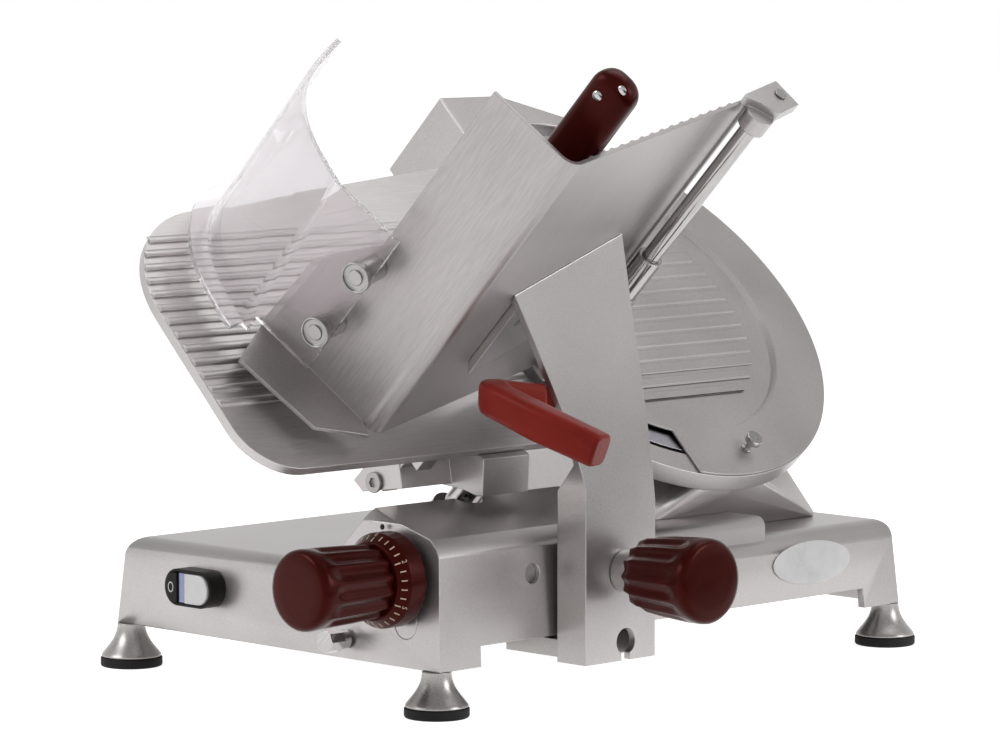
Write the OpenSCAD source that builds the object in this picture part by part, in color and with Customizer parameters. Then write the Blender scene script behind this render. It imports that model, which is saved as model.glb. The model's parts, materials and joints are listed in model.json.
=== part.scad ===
/* [Blade] */
// Lean of the blade plane back from upright
lean = 45; // [40:1:50]
// Blade diameter
blade_d = 300; // [290:1:304]
// Distance of the blade plane from the frame's middle line
blade_off = 221; // [219:0.5:224]
// Height of the blade axis up the leaning plane
blade_up = 152.5; // [150:0.5:156]
// Place of the blade axis along the carriage travel
blade_y = 74.7; // [70:0.1:80]
// Blade sheet thickness
blade_t = 2.5; // [2:0.1:3]
// Depth of the dish behind the blade edge
blade_dish = 9; // [8:0.5:11]
// Radial width of the polished blade edge
blade_edge_w = 15; // [13:0.5:17]
// Gap between the blade edge and the ring guard
ring_gap = 4; // [3:0.5:6]
// Radial width of the ring guard
ring_w = 18; // [15:0.5:18.5]
// Depth of the ring guard
ring_depth = 16; // [14:0.5:17]
// Thickness of the blade cover sheet
cover_t = 1.5; // [1.2:0.1:2]

/* [Base] */
// Width of the base across the carriage travel
base_w = 343; // [338:1:346]
// Length of the base along the carriage travel
base_l = 487; // [480:1:495]
// Height of the base's lower rim above the table
rim_z = 32; // [30:0.5:34]
// Height of the base's flat top above the table
top_z = 96; // [94:0.5:98]
// Wall of the base casting
wall = 6; // [5:0.5:7]
// Draft of the base's outer walls over their height
draft = 4; // [3:0.5:6]
// Rounding of the base's long top edges
edge_r = 15; // [12:0.5:16]
// Height of the raised rim between the foot corners, above the lower rim
arch_h = 14.5; // [13:0.5:16]
// Length of the foot corners along the carriage travel
corner_l = 40; // [36:1:44]
// Thickness of the bottom cover plate
plate_t = 2; // [1.5:0.1:3]

/* [Front housing] */
// Height of the housing ridge above the table
ridge_z = 140; // [138:0.5:142]
// Place of the ridge across the machine
ridge_x = 99; // [96:1:101]
// Drop of the housing top from the ridge to the right wall
ridge_drop = 20; // [18:1:24]
// Length of the housing along the carriage travel
housing_l = 190; // [186:1:200]

/* [Feet] */
// Distance of the foot axes in from the base's long sides
foot_in_x = 9; // [8:0.5:10.5]
// Distance of the foot axes in from the base's ends
foot_in_y = 5.5; // [4.5:0.5:7.5]
// Diameter of the rubber pads
pad_d = 46; // [42:1:48]
// Thickness of the rubber pads
pad_t = 7; // [6:0.5:8]
// Diameter of the foot neck
neck_d = 21; // [19:0.5:23]

/* [Switch] */
// Width of the switch bezel
switch_w = 51; // [48:0.5:54]
// Height of the switch bezel
switch_h = 27; // [25:0.5:29]
// How far the bezel stands out of the front wall
switch_out = 12; // [10:0.5:14]
// Place of the switch across the machine
switch_x = -79; // [-90:1:-70]
// Height of the switch above the table
switch_z = 67; // [65:0.5:69]
// Button travel
button_travel = 2.5; // [2:0.1:3]

/* [Dial] */
// Place of the dial axis across the machine
dial_x = 129; // [127:0.5:131]
// Height of the dial axis above the table
dial_z = 94; // [92:0.5:95]
// Diameter of the dial disc
dial_d = 67; // [62:1:70]
// Depth of the dial disc
dial_t = 22; // [20:1:24]
// Diameter of the dial knob at its face
knob_d = 57; // [54:1:60]
// Length of the dial knob
knob_l = 68; // [62:1:72]
// Flutes round each knob
flutes = 14; // [10:1:16]
// Slice thickness of the gauge as it stands
gauge_open = 8; // [6:0.5:8]

/* [Gauge plate] */
// Thickness of the gauge plate
gauge_t = 7; // [6:0.5:8]
// Gap between the gauge plate's curved edge and the blade edge
gauge_gap = 3; // [2.5:0.5:5]
// Pitch of the ribs on the gauge plate
rib_pitch = 12.35; // [12:0.05:12.6]
// Number of ribs on the gauge plate
rib_count = 13; // [11:1:13]
// Height of the ribs
rib_h = 2; // [1.5:0.1:2.5]

/* [Carriage] */
// Stroke of the carriage
stroke = 260; // [240:5:262]
// Outer face of the carriage arm from the frame's middle
arm_x = 203; // [202:0.5:206]
// Thickness of the arm's foot
arm_foot_t = 28; // [26:0.5:28]
// Thickness of the arm's upper wall
arm_t = 6; // [5:0.5:7]
// Diameter of the carriage rail
rail_d = 22; // [20:0.5:23]
// Height of the carriage rail above the table
rail_z = 63; // [62:0.5:65]
// Running clearance of shafts in their bores, on radius
run_gap = 0.05; // [0.03:0.01:0.08]

/* [Tray] */
// Lean of the fence away from the plane's up direction
fence_lean = 18.8; // [17:0.1:20]
// Rise of the table from the carriage travel
table_rise = 14.1; // [13:0.1:15]
// Length of the tray up from the blade
tray_l = 271; // [264:1:275]
// Gap between the tray's lower end and the blade plane
tray_gap = 5; // [4.5:0.5:6]
// Height of the fence
fence_h = 74; // [70:1:78]
// Height of the widened lower end of the fence
fence_low_h = 113; // [108:1:115]
// Width of the table
table_w = 225; // [222:1:228]
// Thickness of the tray sheet
sheet_t = 3; // [2.5:0.1:3.5]
// Outer radius of the bend between fence and table
bend_r = 13; // [11:0.5:14]
// Place of the bend along the carriage travel
bend_y = -262.6; // [-264:0.1:-260]
// Height of the bend up the leaning plane
bend_up = 48.5; // [48:0.1:50]

/* [Pusher] */
// Diameter of the pusher rod
rod_d = 13; // [12:0.5:14]
// Diameter of the pusher sleeve
sleeve_d = 19; // [18:0.5:20]
// Length of the pusher sleeve
sleeve_l = 70; // [60:1:72]
// Travel of the pusher down to the blade
push_down = 38; // [30:1:40]
// Travel of the pusher up the rod
push_up = 120; // [100:1:124]
// Width of the pusher grip
grip_w = 34; // [30:1:36]
// Thickness of the pusher grip
grip_t = 22; // [20:1:24]
// Length of the pusher grip
grip_l = 130; // [120:1:140]

/* [Thumb guard] */
// Thickness of the clear sheet
guard_t = 4; // [3:0.5:4.5]
// Distance of the clear sheet from the fence
guard_off = 22; // [20:1:24]
// Height of the guard's flat part along the fence
guard_flat = 55; // [50:1:58]

/* [Lock knob] */
// Diameter of the lock knob
lock_d = 60; // [56:1:62]
// Length of the lock knob
lock_l = 68; // [62:1:72]
// Place of the lock knob along the carriage travel
lock_y = -93; // [-95:0.5:-91]
// Height of the lock knob above the table
lock_z = 92; // [90:0.5:94]

/* [Hidden] */

// Overrun of every cut past the faces that it opens
over = 1;
// Gap between seated pieces, and between pieces that pass each other
seat = 0.2;
pass = 0.6;
// Place of the box's middle from the middle of the feet
mid_x = 77.5;
mid_y = -52.5;

blade_r = blade_d / 2;
ring_in = blade_r + ring_gap;
ring_out = ring_in + ring_w;
base_x = base_w / 2;
base_y = base_l / 2;
front_y = -base_y;
foot_dx = base_w - 2 * foot_in_x;
foot_dy = base_l - 2 * foot_in_y;

// Every piece stands in this frame: x across, y along the carriage travel, z up
module place() translate([-mid_x, -mid_y, 0]) children();
// Local frame of the leaning plane: x along the travel, y up the plane, z out of the plane
module on_lean() rotate([0, 90 - lean, 0]) rotate([0, 0, 90]) children();
module at_blade(n = 0) on_lean() translate([blade_y, blade_up, n]) children();
// Outlines drawn across the machine, swept along the travel, and the other way round
module sweep_y(y0, y1) translate([0, y1, 0]) rotate([90, 0, 0]) linear_extrude(y1 - y0) children();
module sweep_x(x0, x1) translate([x0, 0, 0]) rotate([90, 0, 90]) linear_extrude(x1 - x0) children();
module bar(d, l) cylinder(d = d, h = l, $fn = 64);
module rod_y(d, l) rotate([-90, 0, 0]) bar(d, l);
module rod_x(d, l) rotate([0, 90, 0]) bar(d, l);
function arc(c, r, a0, a1, n) = [for (i = [0:n]) c + r * [cos(a0 + (a1 - a0) * i / n),
  sin(a0 + (a1 - a0) * i / n)]];
function flip(pts) = [for (i = [len(pts) - 1:-1:0]) pts[i]];
// A rectangle with round ends, and one with round corners
module slot_2d(w, h, r) {
  square([w - 2 * r, h], center = true);
  square([w, h - 2 * r], center = true);
  for (sx = [-1, 1], sy = [-1, 1]) translate([sx * (w / 2 - r), sy * (h / 2 - r)]) circle(r, $fn = 48);
}

// Base casting
housing_y1 = front_y + housing_l;
right_z = ridge_z - ridge_drop;
slope_w = ridge_z - top_z;
housing_round = 9;
partition_x = 96;
rib_w = 5;
boss_d = 36;
gauge_shaft_d = 18;
gauge_bush_d = 30;
gauge_in = 98.5;
gauge_y = front_y + gauge_in;
gauge_up = 34;
dial_shaft_d = 14;
dial_bush_d = 24;
plug_d = 14;
plug_in = 93.5;
plug_y = front_y + plug_in;
plug_z = 92;
plug_t = 3;
neck_hole_d = 7;
motor_hole = [146, 184];
motor_hole_at = [30, 106];

module base_profile(g) {
  lo = base_x - g;
  hi = base_x - draft - g;
  r = edge_r - g;
  tz = top_z - g;
  polygon(concat([[-lo, rim_z - over * (g > 0 ? 1 : 0)]], arc([-hi + r, tz - r], r, 180, 90, 8),
    arc([hi - r, tz - r], r, 90, 0, 8), [[lo, rim_z - over * (g > 0 ? 1 : 0)]]));
}
module base_side(g, tz) {
  lo = base_y - g;
  hi = base_y - draft - g;
  r = edge_r - g;
  polygon(concat([[-lo, rim_z - over]], arc([-hi + r, tz - g - r], r, 180, 90, 8),
    arc([hi - rear_r + g, tz - g - rear_r + g], rear_r - g, 90, 0, 8), [[lo, rim_z - over]]));
}
rear_r = 9;
platform_x0 = 115;
platform_x1 = 163;
platform_y1 = 100;
platform_z = 110;
platform_r = 8;
module platform_profile(g) {
  r = platform_r - g;
  polygon(concat([[platform_x0 + g, rim_z], [platform_x0 + g, platform_z - g]],
    arc([platform_x1 - g - r, platform_z - g - r], r, 90, 0, 6), [[platform_x1 - g, rim_z]]));
}
module housing_profile(g) {
  r = housing_round - g;
  hx = base_x - draft - g;
  lz = ridge_z - g;
  rz = right_z - g;
  polygon([[ridge_x - slope_w - wall - g, top_z - wall - 2 * g], [ridge_x - 2 * g / 3, lz],
    [ridge_x + r, lz - r * ridge_drop / (hx - ridge_x)], [hx - r, rz + r / 3], [hx - r / 3, rz - r / 3],
    [hx, rz - r], [base_x - g, rim_z - over]]);
}
module base_solid(g) {
  intersection() {
    sweep_y(-base_y, base_y) base_profile(g);
    sweep_x(-base_x - over, base_x + over) base_side(g, top_z);
  }
  intersection() {
    sweep_y(-base_y, housing_y1 - g) housing_profile(g);
    sweep_x(-base_x - over, base_x + over) base_side(g, ridge_z + edge_r / 3);
  }
  sweep_y(-base_y / 2, platform_y1 - g) platform_profile(g);
}
module base_casting() color([0.72, 0.71, 0.71]) place() {
  difference() {
    base_solid(0);
    difference() {
      base_solid(wall);
      translate([partition_x, -base_y, rim_z]) cube([rib_w, base_l, ridge_z]);
      for (sy = [-1, 1]) translate([rail_x, sy * (base_y - wall - draft - boss_l / 2), rail_z])
        rotate([90, 0, 0]) cylinder(d = boss_d, h = boss_l + draft, center = true, $fn = 64);
      for (sx = [-1, 1], sy = [-1, 1]) translate([sx * foot_dx / 2, sy * foot_dy / 2, rim_z - over])
        cylinder(d = pad_d - 3 * wall, h = arch_h, $fn = 48);
      translate([dial_x, front_y, dial_z]) rod_y(dial_bush_d + wall, 2 * wall + draft);
      on_lean() translate([gauge_y, gauge_up, gauge_guide_off]) bar(gauge_bush_d + wall, gauge_guide_l);
    }
    translate([-base_x - over, -base_y - over, 0]) cube([base_w + 2 * over, base_l + 2 * over, rim_z]);
    translate([base_x - arch_h, corner_l - base_y, 0])
      cube([arch_h + over, base_l - 2 * corner_l, rim_z + arch_h]);
    for (sy = [-1, 1]) translate([rail_x, sy * base_y, rail_z]) rotate([90, 0, 0])
      cylinder(d = rail_d + 2 * seat, h = 2 * (3 * wall + boss_l), center = true, $fn = 64);
    for (sy = [-1, 1]) translate([guide_x, sy * base_y, guide_z]) rotate([90, 0, 0])
      cylinder(d = guide_d + 2 * seat, h = 2 * guide_in, center = true, $fn = 48);
    for (sx = [-1, 1], sy = [-1, 1]) translate([sx * foot_dx / 2, sy * foot_dy / 2, 0])
      bar(neck_hole_d, rim_z + stud_l);
    translate([dial_x, front_y - over, dial_z]) rod_y(dial_bush_d + 2 * seat, 3 * wall + draft);
    on_lean() translate([gauge_y, gauge_up, 0]) bar(gauge_bush_d + 2 * seat, blade_off);
    translate([base_x - 2 * wall, plug_y, plug_z]) rod_x(plug_d + 2 * seat, 3 * wall);
    translate([switch_x, front_y - over, switch_z]) rotate([-90, 0, 0]) linear_extrude(3 * wall)
      slot_2d(switch_w - 2 * wall, switch_h - wall, (switch_h - wall) / 2 - seat);
    translate([gland_x, base_y - 2 * wall, gland_z]) rod_y(gland_d + 2 * seat, 3 * wall);
    translate([small_x, front_y - over, small_z]) rod_y(small_shaft_d + 2 * pass, 3 * wall);
    translate([motor_hole_at[0] - motor_hole[0] / 2, motor_hole_at[1] - motor_hole[1] / 2,
      top_z - 2 * wall])
      cube([motor_hole[0], motor_hole[1], 3 * wall]);
  }
}

module bottom_plate() color([0.62, 0.62, 0.63]) place() {
  x0 = -base_x + wall + draft;
  y0 = base_y - wall - draft;
  difference() {
    translate([x0, -y0, rim_z + wall / 2]) cube([partition_x - seat - x0, 2 * y0, plate_t]);
    for (sy = [-1, 1]) translate([-foot_dx / 2, sy * foot_dy / 2, rim_z]) bar(pad_d, arch_h);
  }
}

// Feet: a turned cone with a stud on top and a rubber pad below
stud_l = 12;
stud_d = 6;
cone_top_share = 0.97;
flare_top_share = 0.46;
flare_share = [[1, 0], [0.97, 0.1], [0.82, 0.24], [0.64, 0.42], [0.54, 0.62], [0.48, 0.85], [flare_top_share, 1]];
module each_foot() for (sx = [-1, 1], sy = [-1, 1])
  translate([sx * foot_dx / 2, sy * foot_dy / 2, 0]) children();
module foot_cones() color([0.70, 0.69, 0.68]) place() each_foot() {
  h = rim_z - pad_t - 2 * seat;
  translate([0, 0, pad_t + seat]) rotate_extrude($fn = 64) polygon(concat([[0, 0]],
    [for (p = flare_share) [neck_d / 2 + (pad_d / 2 * cone_top_share - neck_d / 2) * max(0,
      (p[0] - flare_top_share) / (1 - flare_top_share)),
      h * p[1]]], [[stud_d / 2, h], [stud_d / 2, h + stud_l], [0, h + stud_l]]));
}
module foot_pads() color([0.08, 0.08, 0.08]) place() each_foot() cylinder(d = pad_d, h = pad_t, $fn = 64);

// Switch with a stop and a start button, and a lamp strip between them
face_y = front_y - switch_out;
lip = 2.4;
stop_w = 13;
lamp_w = 8;
button_out = 1.5;
// Room left behind a button pushed home
button_rear = 0.4;
button_run = switch_out - button_travel - button_rear + button_out;
switch_deep = 36;
rim_r = (switch_h - 2 * lip) / 2;
module switch_cut(x0, x1, g) intersection() {
  slot_2d(switch_w - 2 * lip - 2 * g, switch_h - 2 * lip - 2 * g, rim_r - g - seat);
  translate([x0, -switch_h]) square([x1 - x0, 2 * switch_h]);
}
module at_switch(y) translate([switch_x, y, switch_z]) rotate([90, 0, 0]) children();
module switch_bezel() color([0.16, 0.15, 0.15]) place() difference() {
  at_switch(front_y + draft) linear_extrude(switch_out + draft)
    slot_2d(switch_w, switch_h, switch_h / 2 - seat);
  at_switch(front_y + draft + over) linear_extrude(switch_out + draft + 2 * over)
    switch_cut(-switch_w, switch_w, 0);
  base_solid_front();
}
module base_solid_front() intersection() {
  base_solid(-seat);
  translate([-base_x, front_y - over, rim_z]) cube([base_w / 2, 2 * wall, top_z]);
}
stop_x0 = -switch_w / 2 + lip;
stop_x1 = stop_x0 + stop_w;
lamp_x1 = stop_x1 + lamp_w;
start_x1 = switch_w / 2 - lip;
module stop_button() color([0.12, 0.11, 0.12]) place()
  at_switch(front_y - button_travel - button_rear) linear_extrude(button_run)
    switch_cut(-switch_w, stop_x1 - pass / 2, pass / 2);
module start_button() color([0.82, 0.83, 0.86]) place()
  at_switch(front_y - button_travel - button_rear) linear_extrude(button_run)
    switch_cut(lamp_x1 + pass / 2, switch_w, pass / 2);
module pilot_lamp() color([0.66, 0.70, 0.92]) place()
  at_switch(front_y) linear_extrude(switch_out - seat)
    switch_cut(stop_x1 + pass / 2, lamp_x1 - pass / 2, pass / 2);
module switch_block() color([0.2, 0.2, 0.22]) place()
  at_switch(front_y + seat + switch_deep) linear_extrude(switch_deep)
    slot_2d(switch_w - 2 * wall - 2 * seat, switch_h - wall - 2 * seat, (switch_h - wall) / 2 - 2 * seat);

// Bare oval plate, plug and gland
oval_w = 86;
oval_h = 32;
oval_in = 97.5;
oval_y = base_y - oval_in;
oval_z = 72;
oval_t = 1;
function wall_x(z) = base_x - draft * (z - rim_z) / (top_z - rim_z - edge_r);
module blank_plate() color([0.95, 0.95, 0.95]) place()
  translate([wall_x(oval_z) + seat, oval_y, oval_z]) rotate([0, -atan(draft / (top_z - rim_z - edge_r)), 0])
    rotate([90, 0, 90]) linear_extrude(oval_t) scale([oval_w / oval_h, 1]) circle(d = oval_h, $fn = 96);
module side_plug() color([0.3, 0.3, 0.3]) place()
  translate([base_x - draft - wall, plug_y, plug_z]) rod_x(plug_d, plug_t);
gland_x = -60;
gland_z = 64;
gland_d = 16;
gland_head_d = 24;
gland_out = 16;
cord_d = 8;
module cable_gland() color([0.12, 0.12, 0.12]) place() difference() {
  translate([gland_x, base_y - wall - draft, gland_z]) {
    rod_y(gland_d, wall + draft);
    translate([0, wall + draft + seat, 0]) rotate([-90, 0, 0])
      cylinder(d = gland_head_d, h = gland_out / 2, $fn = 6);
    translate([0, wall + draft, 0]) rod_y(gland_d + lip, gland_out);
  }
  translate([gland_x, base_y - 2 * wall - draft, gland_z]) rod_y(cord_d, 2 * gland_out + 2 * wall);
}

// Drive pedestal: the casting behind the blade that holds the motor, the belt and the blade bearings
hub_r = 62;
motor_r = 46;
motor_up = 52;
motor_y = 92;
pedestal_off1 = 201;
pedestal_off0 = 96;
pedestal_wall = 5;
belt_off = 182;
belt_w = 10;
bearing_d = 42;
bearing_w = 12;
boss_off = 157;
web_off = 150;
web_t = 4;
axle_d = 20;
flare_x0 = -52;
flare_x1 = 113;
flare_y0 = 4;
flare_y1 = 211;
flare_h = 4;
module pedestal_drum(g) {
  r = hub_r - g;
  n0 = pedestal_off0 + g;
  n1 = pedestal_off1 - g - edge_r;
  translate([0, 0, n0]) cylinder(r = r, h = n1 - n0, $fn = 32);
  translate([0, 0, n1]) cylinder(r1 = r, r2 = r - edge_r / 3, h = edge_r - over, $fn = 32);
}
module pedestal_solid(g) hull() {
  at_blade() pedestal_drum(g);
  on_lean() translate([motor_y, motor_up, 0]) pedestal_drum(g);
  translate([flare_x0 + g, flare_y0 + g, top_z - g / wall])
    cube([flare_x1 - flare_x0 - 2 * g, flare_y1 - flare_y0 - 2 * g, flare_h]);
}
module drive_pedestal() color([0.70, 0.69, 0.69]) place() difference() {
  pedestal_solid(0);
  difference() {
    pedestal_solid(pedestal_wall);
    at_blade(boss_off) bar(bearing_d + 2 * wall, blade_off - boss_off);
  }
  at_blade(boss_off - over) bar(bearing_d + 2 * seat, blade_off);
  translate([-base_x, -base_y, 0]) cube([base_w, base_l, top_z]);
  base_solid(-seat);
}
motor_l = 92;
motor_off1 = 168;
motor_shaft_d = 12;
motor_pulley_d = 34;
driven_pulley_d = 84;
belt_t = 3;
module motor() color([0.25, 0.26, 0.28]) place() on_lean()
  translate([motor_y, motor_up, motor_off1 - motor_l])
  difference() {
    union() {
      bar(2 * motor_r, motor_l);
      translate([0, 0, motor_l]) bar(motor_r, belt_t);
    }
    translate([0, 0, motor_l - 2 * belt_t]) bar(motor_shaft_d + 2 * run_gap, 4 * belt_t);
  }
module motor_pulley() color([0.55, 0.55, 0.56]) place() on_lean()
  translate([motor_y, motor_up, motor_off1 - belt_t]) {
  bar(motor_shaft_d, pedestal_off1 - pedestal_wall * 2 - motor_off1 + belt_t);
  translate([0, 0, belt_off - belt_w / 2 - motor_off1 + belt_t - over])
    bar(motor_pulley_d, belt_w + 2 * over);
}
belt_dx = motor_y - blade_y;
belt_dy = blade_up - motor_up;
belt_len = sqrt(belt_dx * belt_dx + belt_dy * belt_dy);
belt_a = asin((driven_pulley_d - motor_pulley_d) / 2 / belt_len);
module belt_2d(g) {
  rb = driven_pulley_d / 2 + g;
  rm = motor_pulley_d / 2 + g;
  polygon(concat(arc([0, 0], rb, -belt_a, 180 + belt_a, 32),
    arc([0, -belt_len], rm, 180 + belt_a, 360 - belt_a, 20)));
}
module drive_belt() color([0.1, 0.1, 0.1]) place() at_blade(belt_off - belt_w / 2)
  rotate([0, 0, atan2(belt_dx, belt_dy)]) linear_extrude(belt_w) difference() {
    belt_2d(seat + belt_t);
    belt_2d(seat);
  }

// Blade, hub and bearings
hub_flange_d = 90;
hub_flange_t = 5;
seat_off = blade_off - blade_dish - blade_t;
bearing_in = 2;
module blade_bearings() color([0.6, 0.6, 0.62]) place()
  for (n = [boss_off + bearing_in, pedestal_off1 - bearing_w - over])
  at_blade(n) difference() {
    bar(bearing_d, bearing_w - over);
    translate([0, 0, -over]) bar(axle_d + 2 * run_gap, bearing_w + over);
  }
module blade_hub() color([0.62, 0.62, 0.63]) place() {
  at_blade(web_off) bar(axle_d, seat_off - hub_flange_t - web_off);
  at_blade(seat_off - hub_flange_t) difference() {
    bar(hub_flange_d, hub_flange_t - seat);
    each_hub_screw() translate([0, 0, over]) bar(hub_screw_d + 2 * seat, hub_flange_t);
  }
  at_blade(web_off) difference() {
    bar(driven_pulley_d, belt_off + belt_w / 2 - web_off + over);
    translate([0, 0, web_t]) bar(driven_pulley_d - 2 * wall, belt_off);
  }
}
hub_screw_d = 6;
hub_screws = 3;
module each_hub_screw() for (i = [0:hub_screws - 1]) rotate(i * 360 / hub_screws)
  translate([screw_pcd / 2, 0, 0]) children();
screw_pcd = 66;
screw_d = 9;
hub_screw_in = 2;
blade_bore = 30;
module blade() color([0.70, 0.69, 0.73]) place() at_blade(blade_off) difference() {
  rotate_extrude($fn = 180) polygon([[blade_bore / 2, -blade_dish - blade_t],
    [blade_r - blade_edge_w - blade_dish, -blade_dish - blade_t],
    [blade_r - blade_edge_w, -2 * blade_t], [blade_r - blade_t, -blade_t], [blade_r, 0],
    [blade_r - blade_edge_w, -blade_t / 2], [blade_r - blade_edge_w - blade_dish, -blade_dish],
    [blade_bore / 2, -blade_dish]]);
  each_hub_screw() translate([0, 0, -2 * blade_dish]) bar(hub_screw_d + 2 * seat, 2 * blade_dish);
}
module blade_screws() color([0.5, 0.5, 0.5]) place() at_blade(blade_off - blade_dish + seat)
  each_hub_screw() {
  bar(screw_d, blade_t);
  translate([0, 0, -blade_t - hub_flange_t + hub_screw_in]) bar(hub_screw_d, blade_t + hub_flange_t);
}

// Ring guard round the part of the edge that does not cut
ring_a0 = -122;
ring_a1 = 100;
ring_front = blade_off + over - pass / 2;
module sector_2d(a0, a1, r) polygon(concat([[0, 0]], arc([0, 0], r, a0, a1, 24)));
module ring_guard() color([0.74, 0.73, 0.72]) place() {
  at_blade(ring_front - ring_depth) intersection() {
    difference() {
      cylinder(r = ring_out, h = ring_depth, $fn = 180);
      translate([0, 0, -over]) cylinder(r = ring_in, h = ring_depth + 2 * over, $fn = 180);
    }
    linear_extrude(3 * ring_depth, center = true) sector_2d(ring_a0, ring_a1, 2 * ring_out);
  }
  ring_struts();
}
// Struts that carry the ring from the pedestal
strut_w = 24;
strut_in = 3;
strut_angles_share = [-0.23, 0.01, 0.25];
module ring_struts() for (s = strut_angles_share) at_blade(pedestal_off1 - over + seat) rotate(s * 360)
  translate([hub_flange_d / 2 + strut_in, -strut_w / 2, 0])
    cube([ring_out - ring_w / 2 - hub_flange_d / 2, strut_w,
      ring_front - ring_depth - pedestal_off1 + over]);

// Cover over the middle of the blade and the ring
cover_step = 1.5;
disc_r = blade_r - blade_edge_w - cover_step;
dish_off = blade_off - cover_step;
notch_y = 26;
cover_front = ring_front + seat + cover_t;
cover_ribs = 11;
cover_rib_end_r = 106;
cover_rib_w = 5;
cover_rib_low = -90;
cover_pitch_share = 1.06;
cover_pitch = rib_pitch * cover_pitch_share;
rib_rise = 1.6;
module cover_outline() {
  circle(r = disc_r, $fn = 180);
  intersection() {
    circle(r = ring_out - over, $fn = 180);
    translate([notch_y - blade_y, -ring_out]) square([2 * ring_out, 2 * ring_out]);
  }
}
module blade_cover() color([0.70, 0.68, 0.68]) place() {
  at_blade(cover_front - cover_t) linear_extrude(cover_t) difference() {
    cover_outline();
    circle(r = disc_r - bead_w, $fn = 180);
    pin_hole_2d();
  }
  at_blade(0) rotate_extrude($fn = 180) polygon([[disc_r - bead_w - over, cover_front - cover_t],
    [disc_r - bead_w, cover_front - cover_t], [disc_r - bead_w, cover_front], [disc_r - bead_w - over,
      cover_front],
    [disc_r - 2 * bead_w, dish_off], [disc_r - 2 * bead_w - over, dish_off - cover_t]]);
  at_blade(dish_off - cover_t) cylinder(r = disc_r - 2 * bead_w, h = cover_t, $fn = 180);
  for (i = [0:cover_ribs - 1]) {
    y = cover_rib_low + i * cover_pitch;
    x = sqrt(cover_rib_end_r * cover_rib_end_r - y * y);
    at_blade(dish_off - over / 2) intersection() {
      translate([-x, y - cover_rib_w / 2, 0]) cube([2 * x, cover_rib_w, rib_rise]);
      translate([-x, y, -cover_rib_w / 2 + rib_rise]) rod_x(cover_rib_w + over, 2 * x);
    }
  }
}
bead_w = 4;
pin_r = 149;
pin_a = -85;
pin_d = 5;
pin_out = 9;
pin_head_d = 13;
pin_head_t = 5;
pin_collar_share = 0.62;
module pin_hole_2d() rotate(pin_a) translate([pin_r, 0]) circle(d = pin_d + 2 * run_gap, $fn = 32);
module at_pin(n) at_blade(n) rotate(pin_a) translate([pin_r, 0, 0]) children();
module cover_pin() color([0.8, 0.8, 0.8]) place() {
  at_pin(cover_front - cover_t + over / 2) bar(pin_d, pin_out);
  at_pin(cover_front + pin_out - over) cylinder(d = pin_head_d, h = pin_head_t, $fn = 48);
  at_pin(cover_front + seat) bar(pin_head_d * pin_collar_share, over);
}

// Slice deflector: a bent sheet behind the exposed edge
deflector_t = 1.5;
deflector_lo = 92;
deflector_hi = 213;
deflector_r = 78;
deflector_y = 12.2;
deflector_off = 228;
module slice_deflector() color([0.74, 0.74, 0.74]) place() difference() {
  on_lean() translate([0, deflector_hi, 0]) rotate([90, 0, 0]) linear_extrude(deflector_hi - deflector_lo)
    polygon(concat(arc([deflector_y, deflector_off], deflector_r, 200, 271, 12),
      arc([deflector_y, deflector_off], deflector_r + deflector_t, 271, 200, 12)));
  pedestal_solid(-seat);
}

// Sharpener above the ring
sharp_y0 = 11;
sharp_y1 = 132;
sharp_top = 358;
sharp_low = 318;
sharp_off0 = 150;
sharp_off1 = 230;
sharp_flat = 73;
sharp_drop = 26;
sharp_wall = 2.5;
sharp_clear = 4;
module sharp_outline(g) polygon([[sharp_y0 + g, sharp_low - (g > 0 ? over : 0)],
  [sharp_y0 + g, sharp_top - g], [sharp_flat - g / 3, sharp_top - g],
  [sharp_y1 - g, sharp_top - sharp_drop - g / 2], [sharp_y1 - g, sharp_low - (g > 0 ? over : 0)]]);
module sharpener_cover() color([0.69, 0.68, 0.68]) place() difference() {
  on_lean() translate([0, 0, sharp_off0]) linear_extrude(sharp_off1 - sharp_off0) sharp_outline(0);
  on_lean() translate([0, 0, sharp_off0 + sharp_wall])
    linear_extrude(sharp_off1 - sharp_off0 - 2 * sharp_wall)
    sharp_outline(sharp_wall);
  at_blade(0) cylinder(r = ring_out + sharp_clear, h = 2 * blade_off, $fn = 180);
}
// The bracket's post stands on the pedestal and its bar carries the two stones behind the blade edge
sharp_post_w = 30;
sharp_post_t = 7.5;
stone_bar_w = 12;
post_off = sharp_off0 + sharp_wall + seat;
module sharpener_bracket() color([0.6, 0.6, 0.6]) place() on_lean() difference() {
  union() {
    translate([sharp_flat - sharp_post_w / 2, blade_up + hub_r + seat, post_off])
      cube([sharp_post_w, sharp_top - sharp_drop - blade_up - hub_r, sharp_post_t]);
    translate([grind_y - stone_bar_w, stone_up - stone_bar_w / 2, post_off])
      cube([hone_y - grind_y + 2 * stone_bar_w, stone_bar_w, sharp_post_t]);
  }
  for (y = [grind_y, hone_y]) translate([y, stone_up, 0]) bar(stone_shaft_d + 2 * run_gap, 2 * sharp_off0);
}
grind_y = 42;
hone_y = 102;
// Distance of the stones' centres in from the blade edge
stone_in = 8.5;
stone_up = blade_up + blade_r - stone_in;
stone_shaft_d = 8;
stone_d = 12;
stone_t = 6;
stone_travel = 4;
button_d = 12;
button_l = 10;
module stone(y) color([0.55, 0.45, 0.38]) place() on_lean() translate([y, stone_up, 0]) {
  n = blade_off - 2 * blade_t - stone_travel - pass;
  back = post_off - stone_travel - pass;
  translate([0, 0, back - button_l]) bar(button_d, button_l);
  translate([0, 0, back - over]) bar(stone_shaft_d, n - back + over - stone_t / 2);
  translate([0, 0, n - stone_t]) bar(stone_d, stone_t);
}
module grinding_stone() stone(grind_y);
module honing_stone() stone(hone_y);

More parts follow.
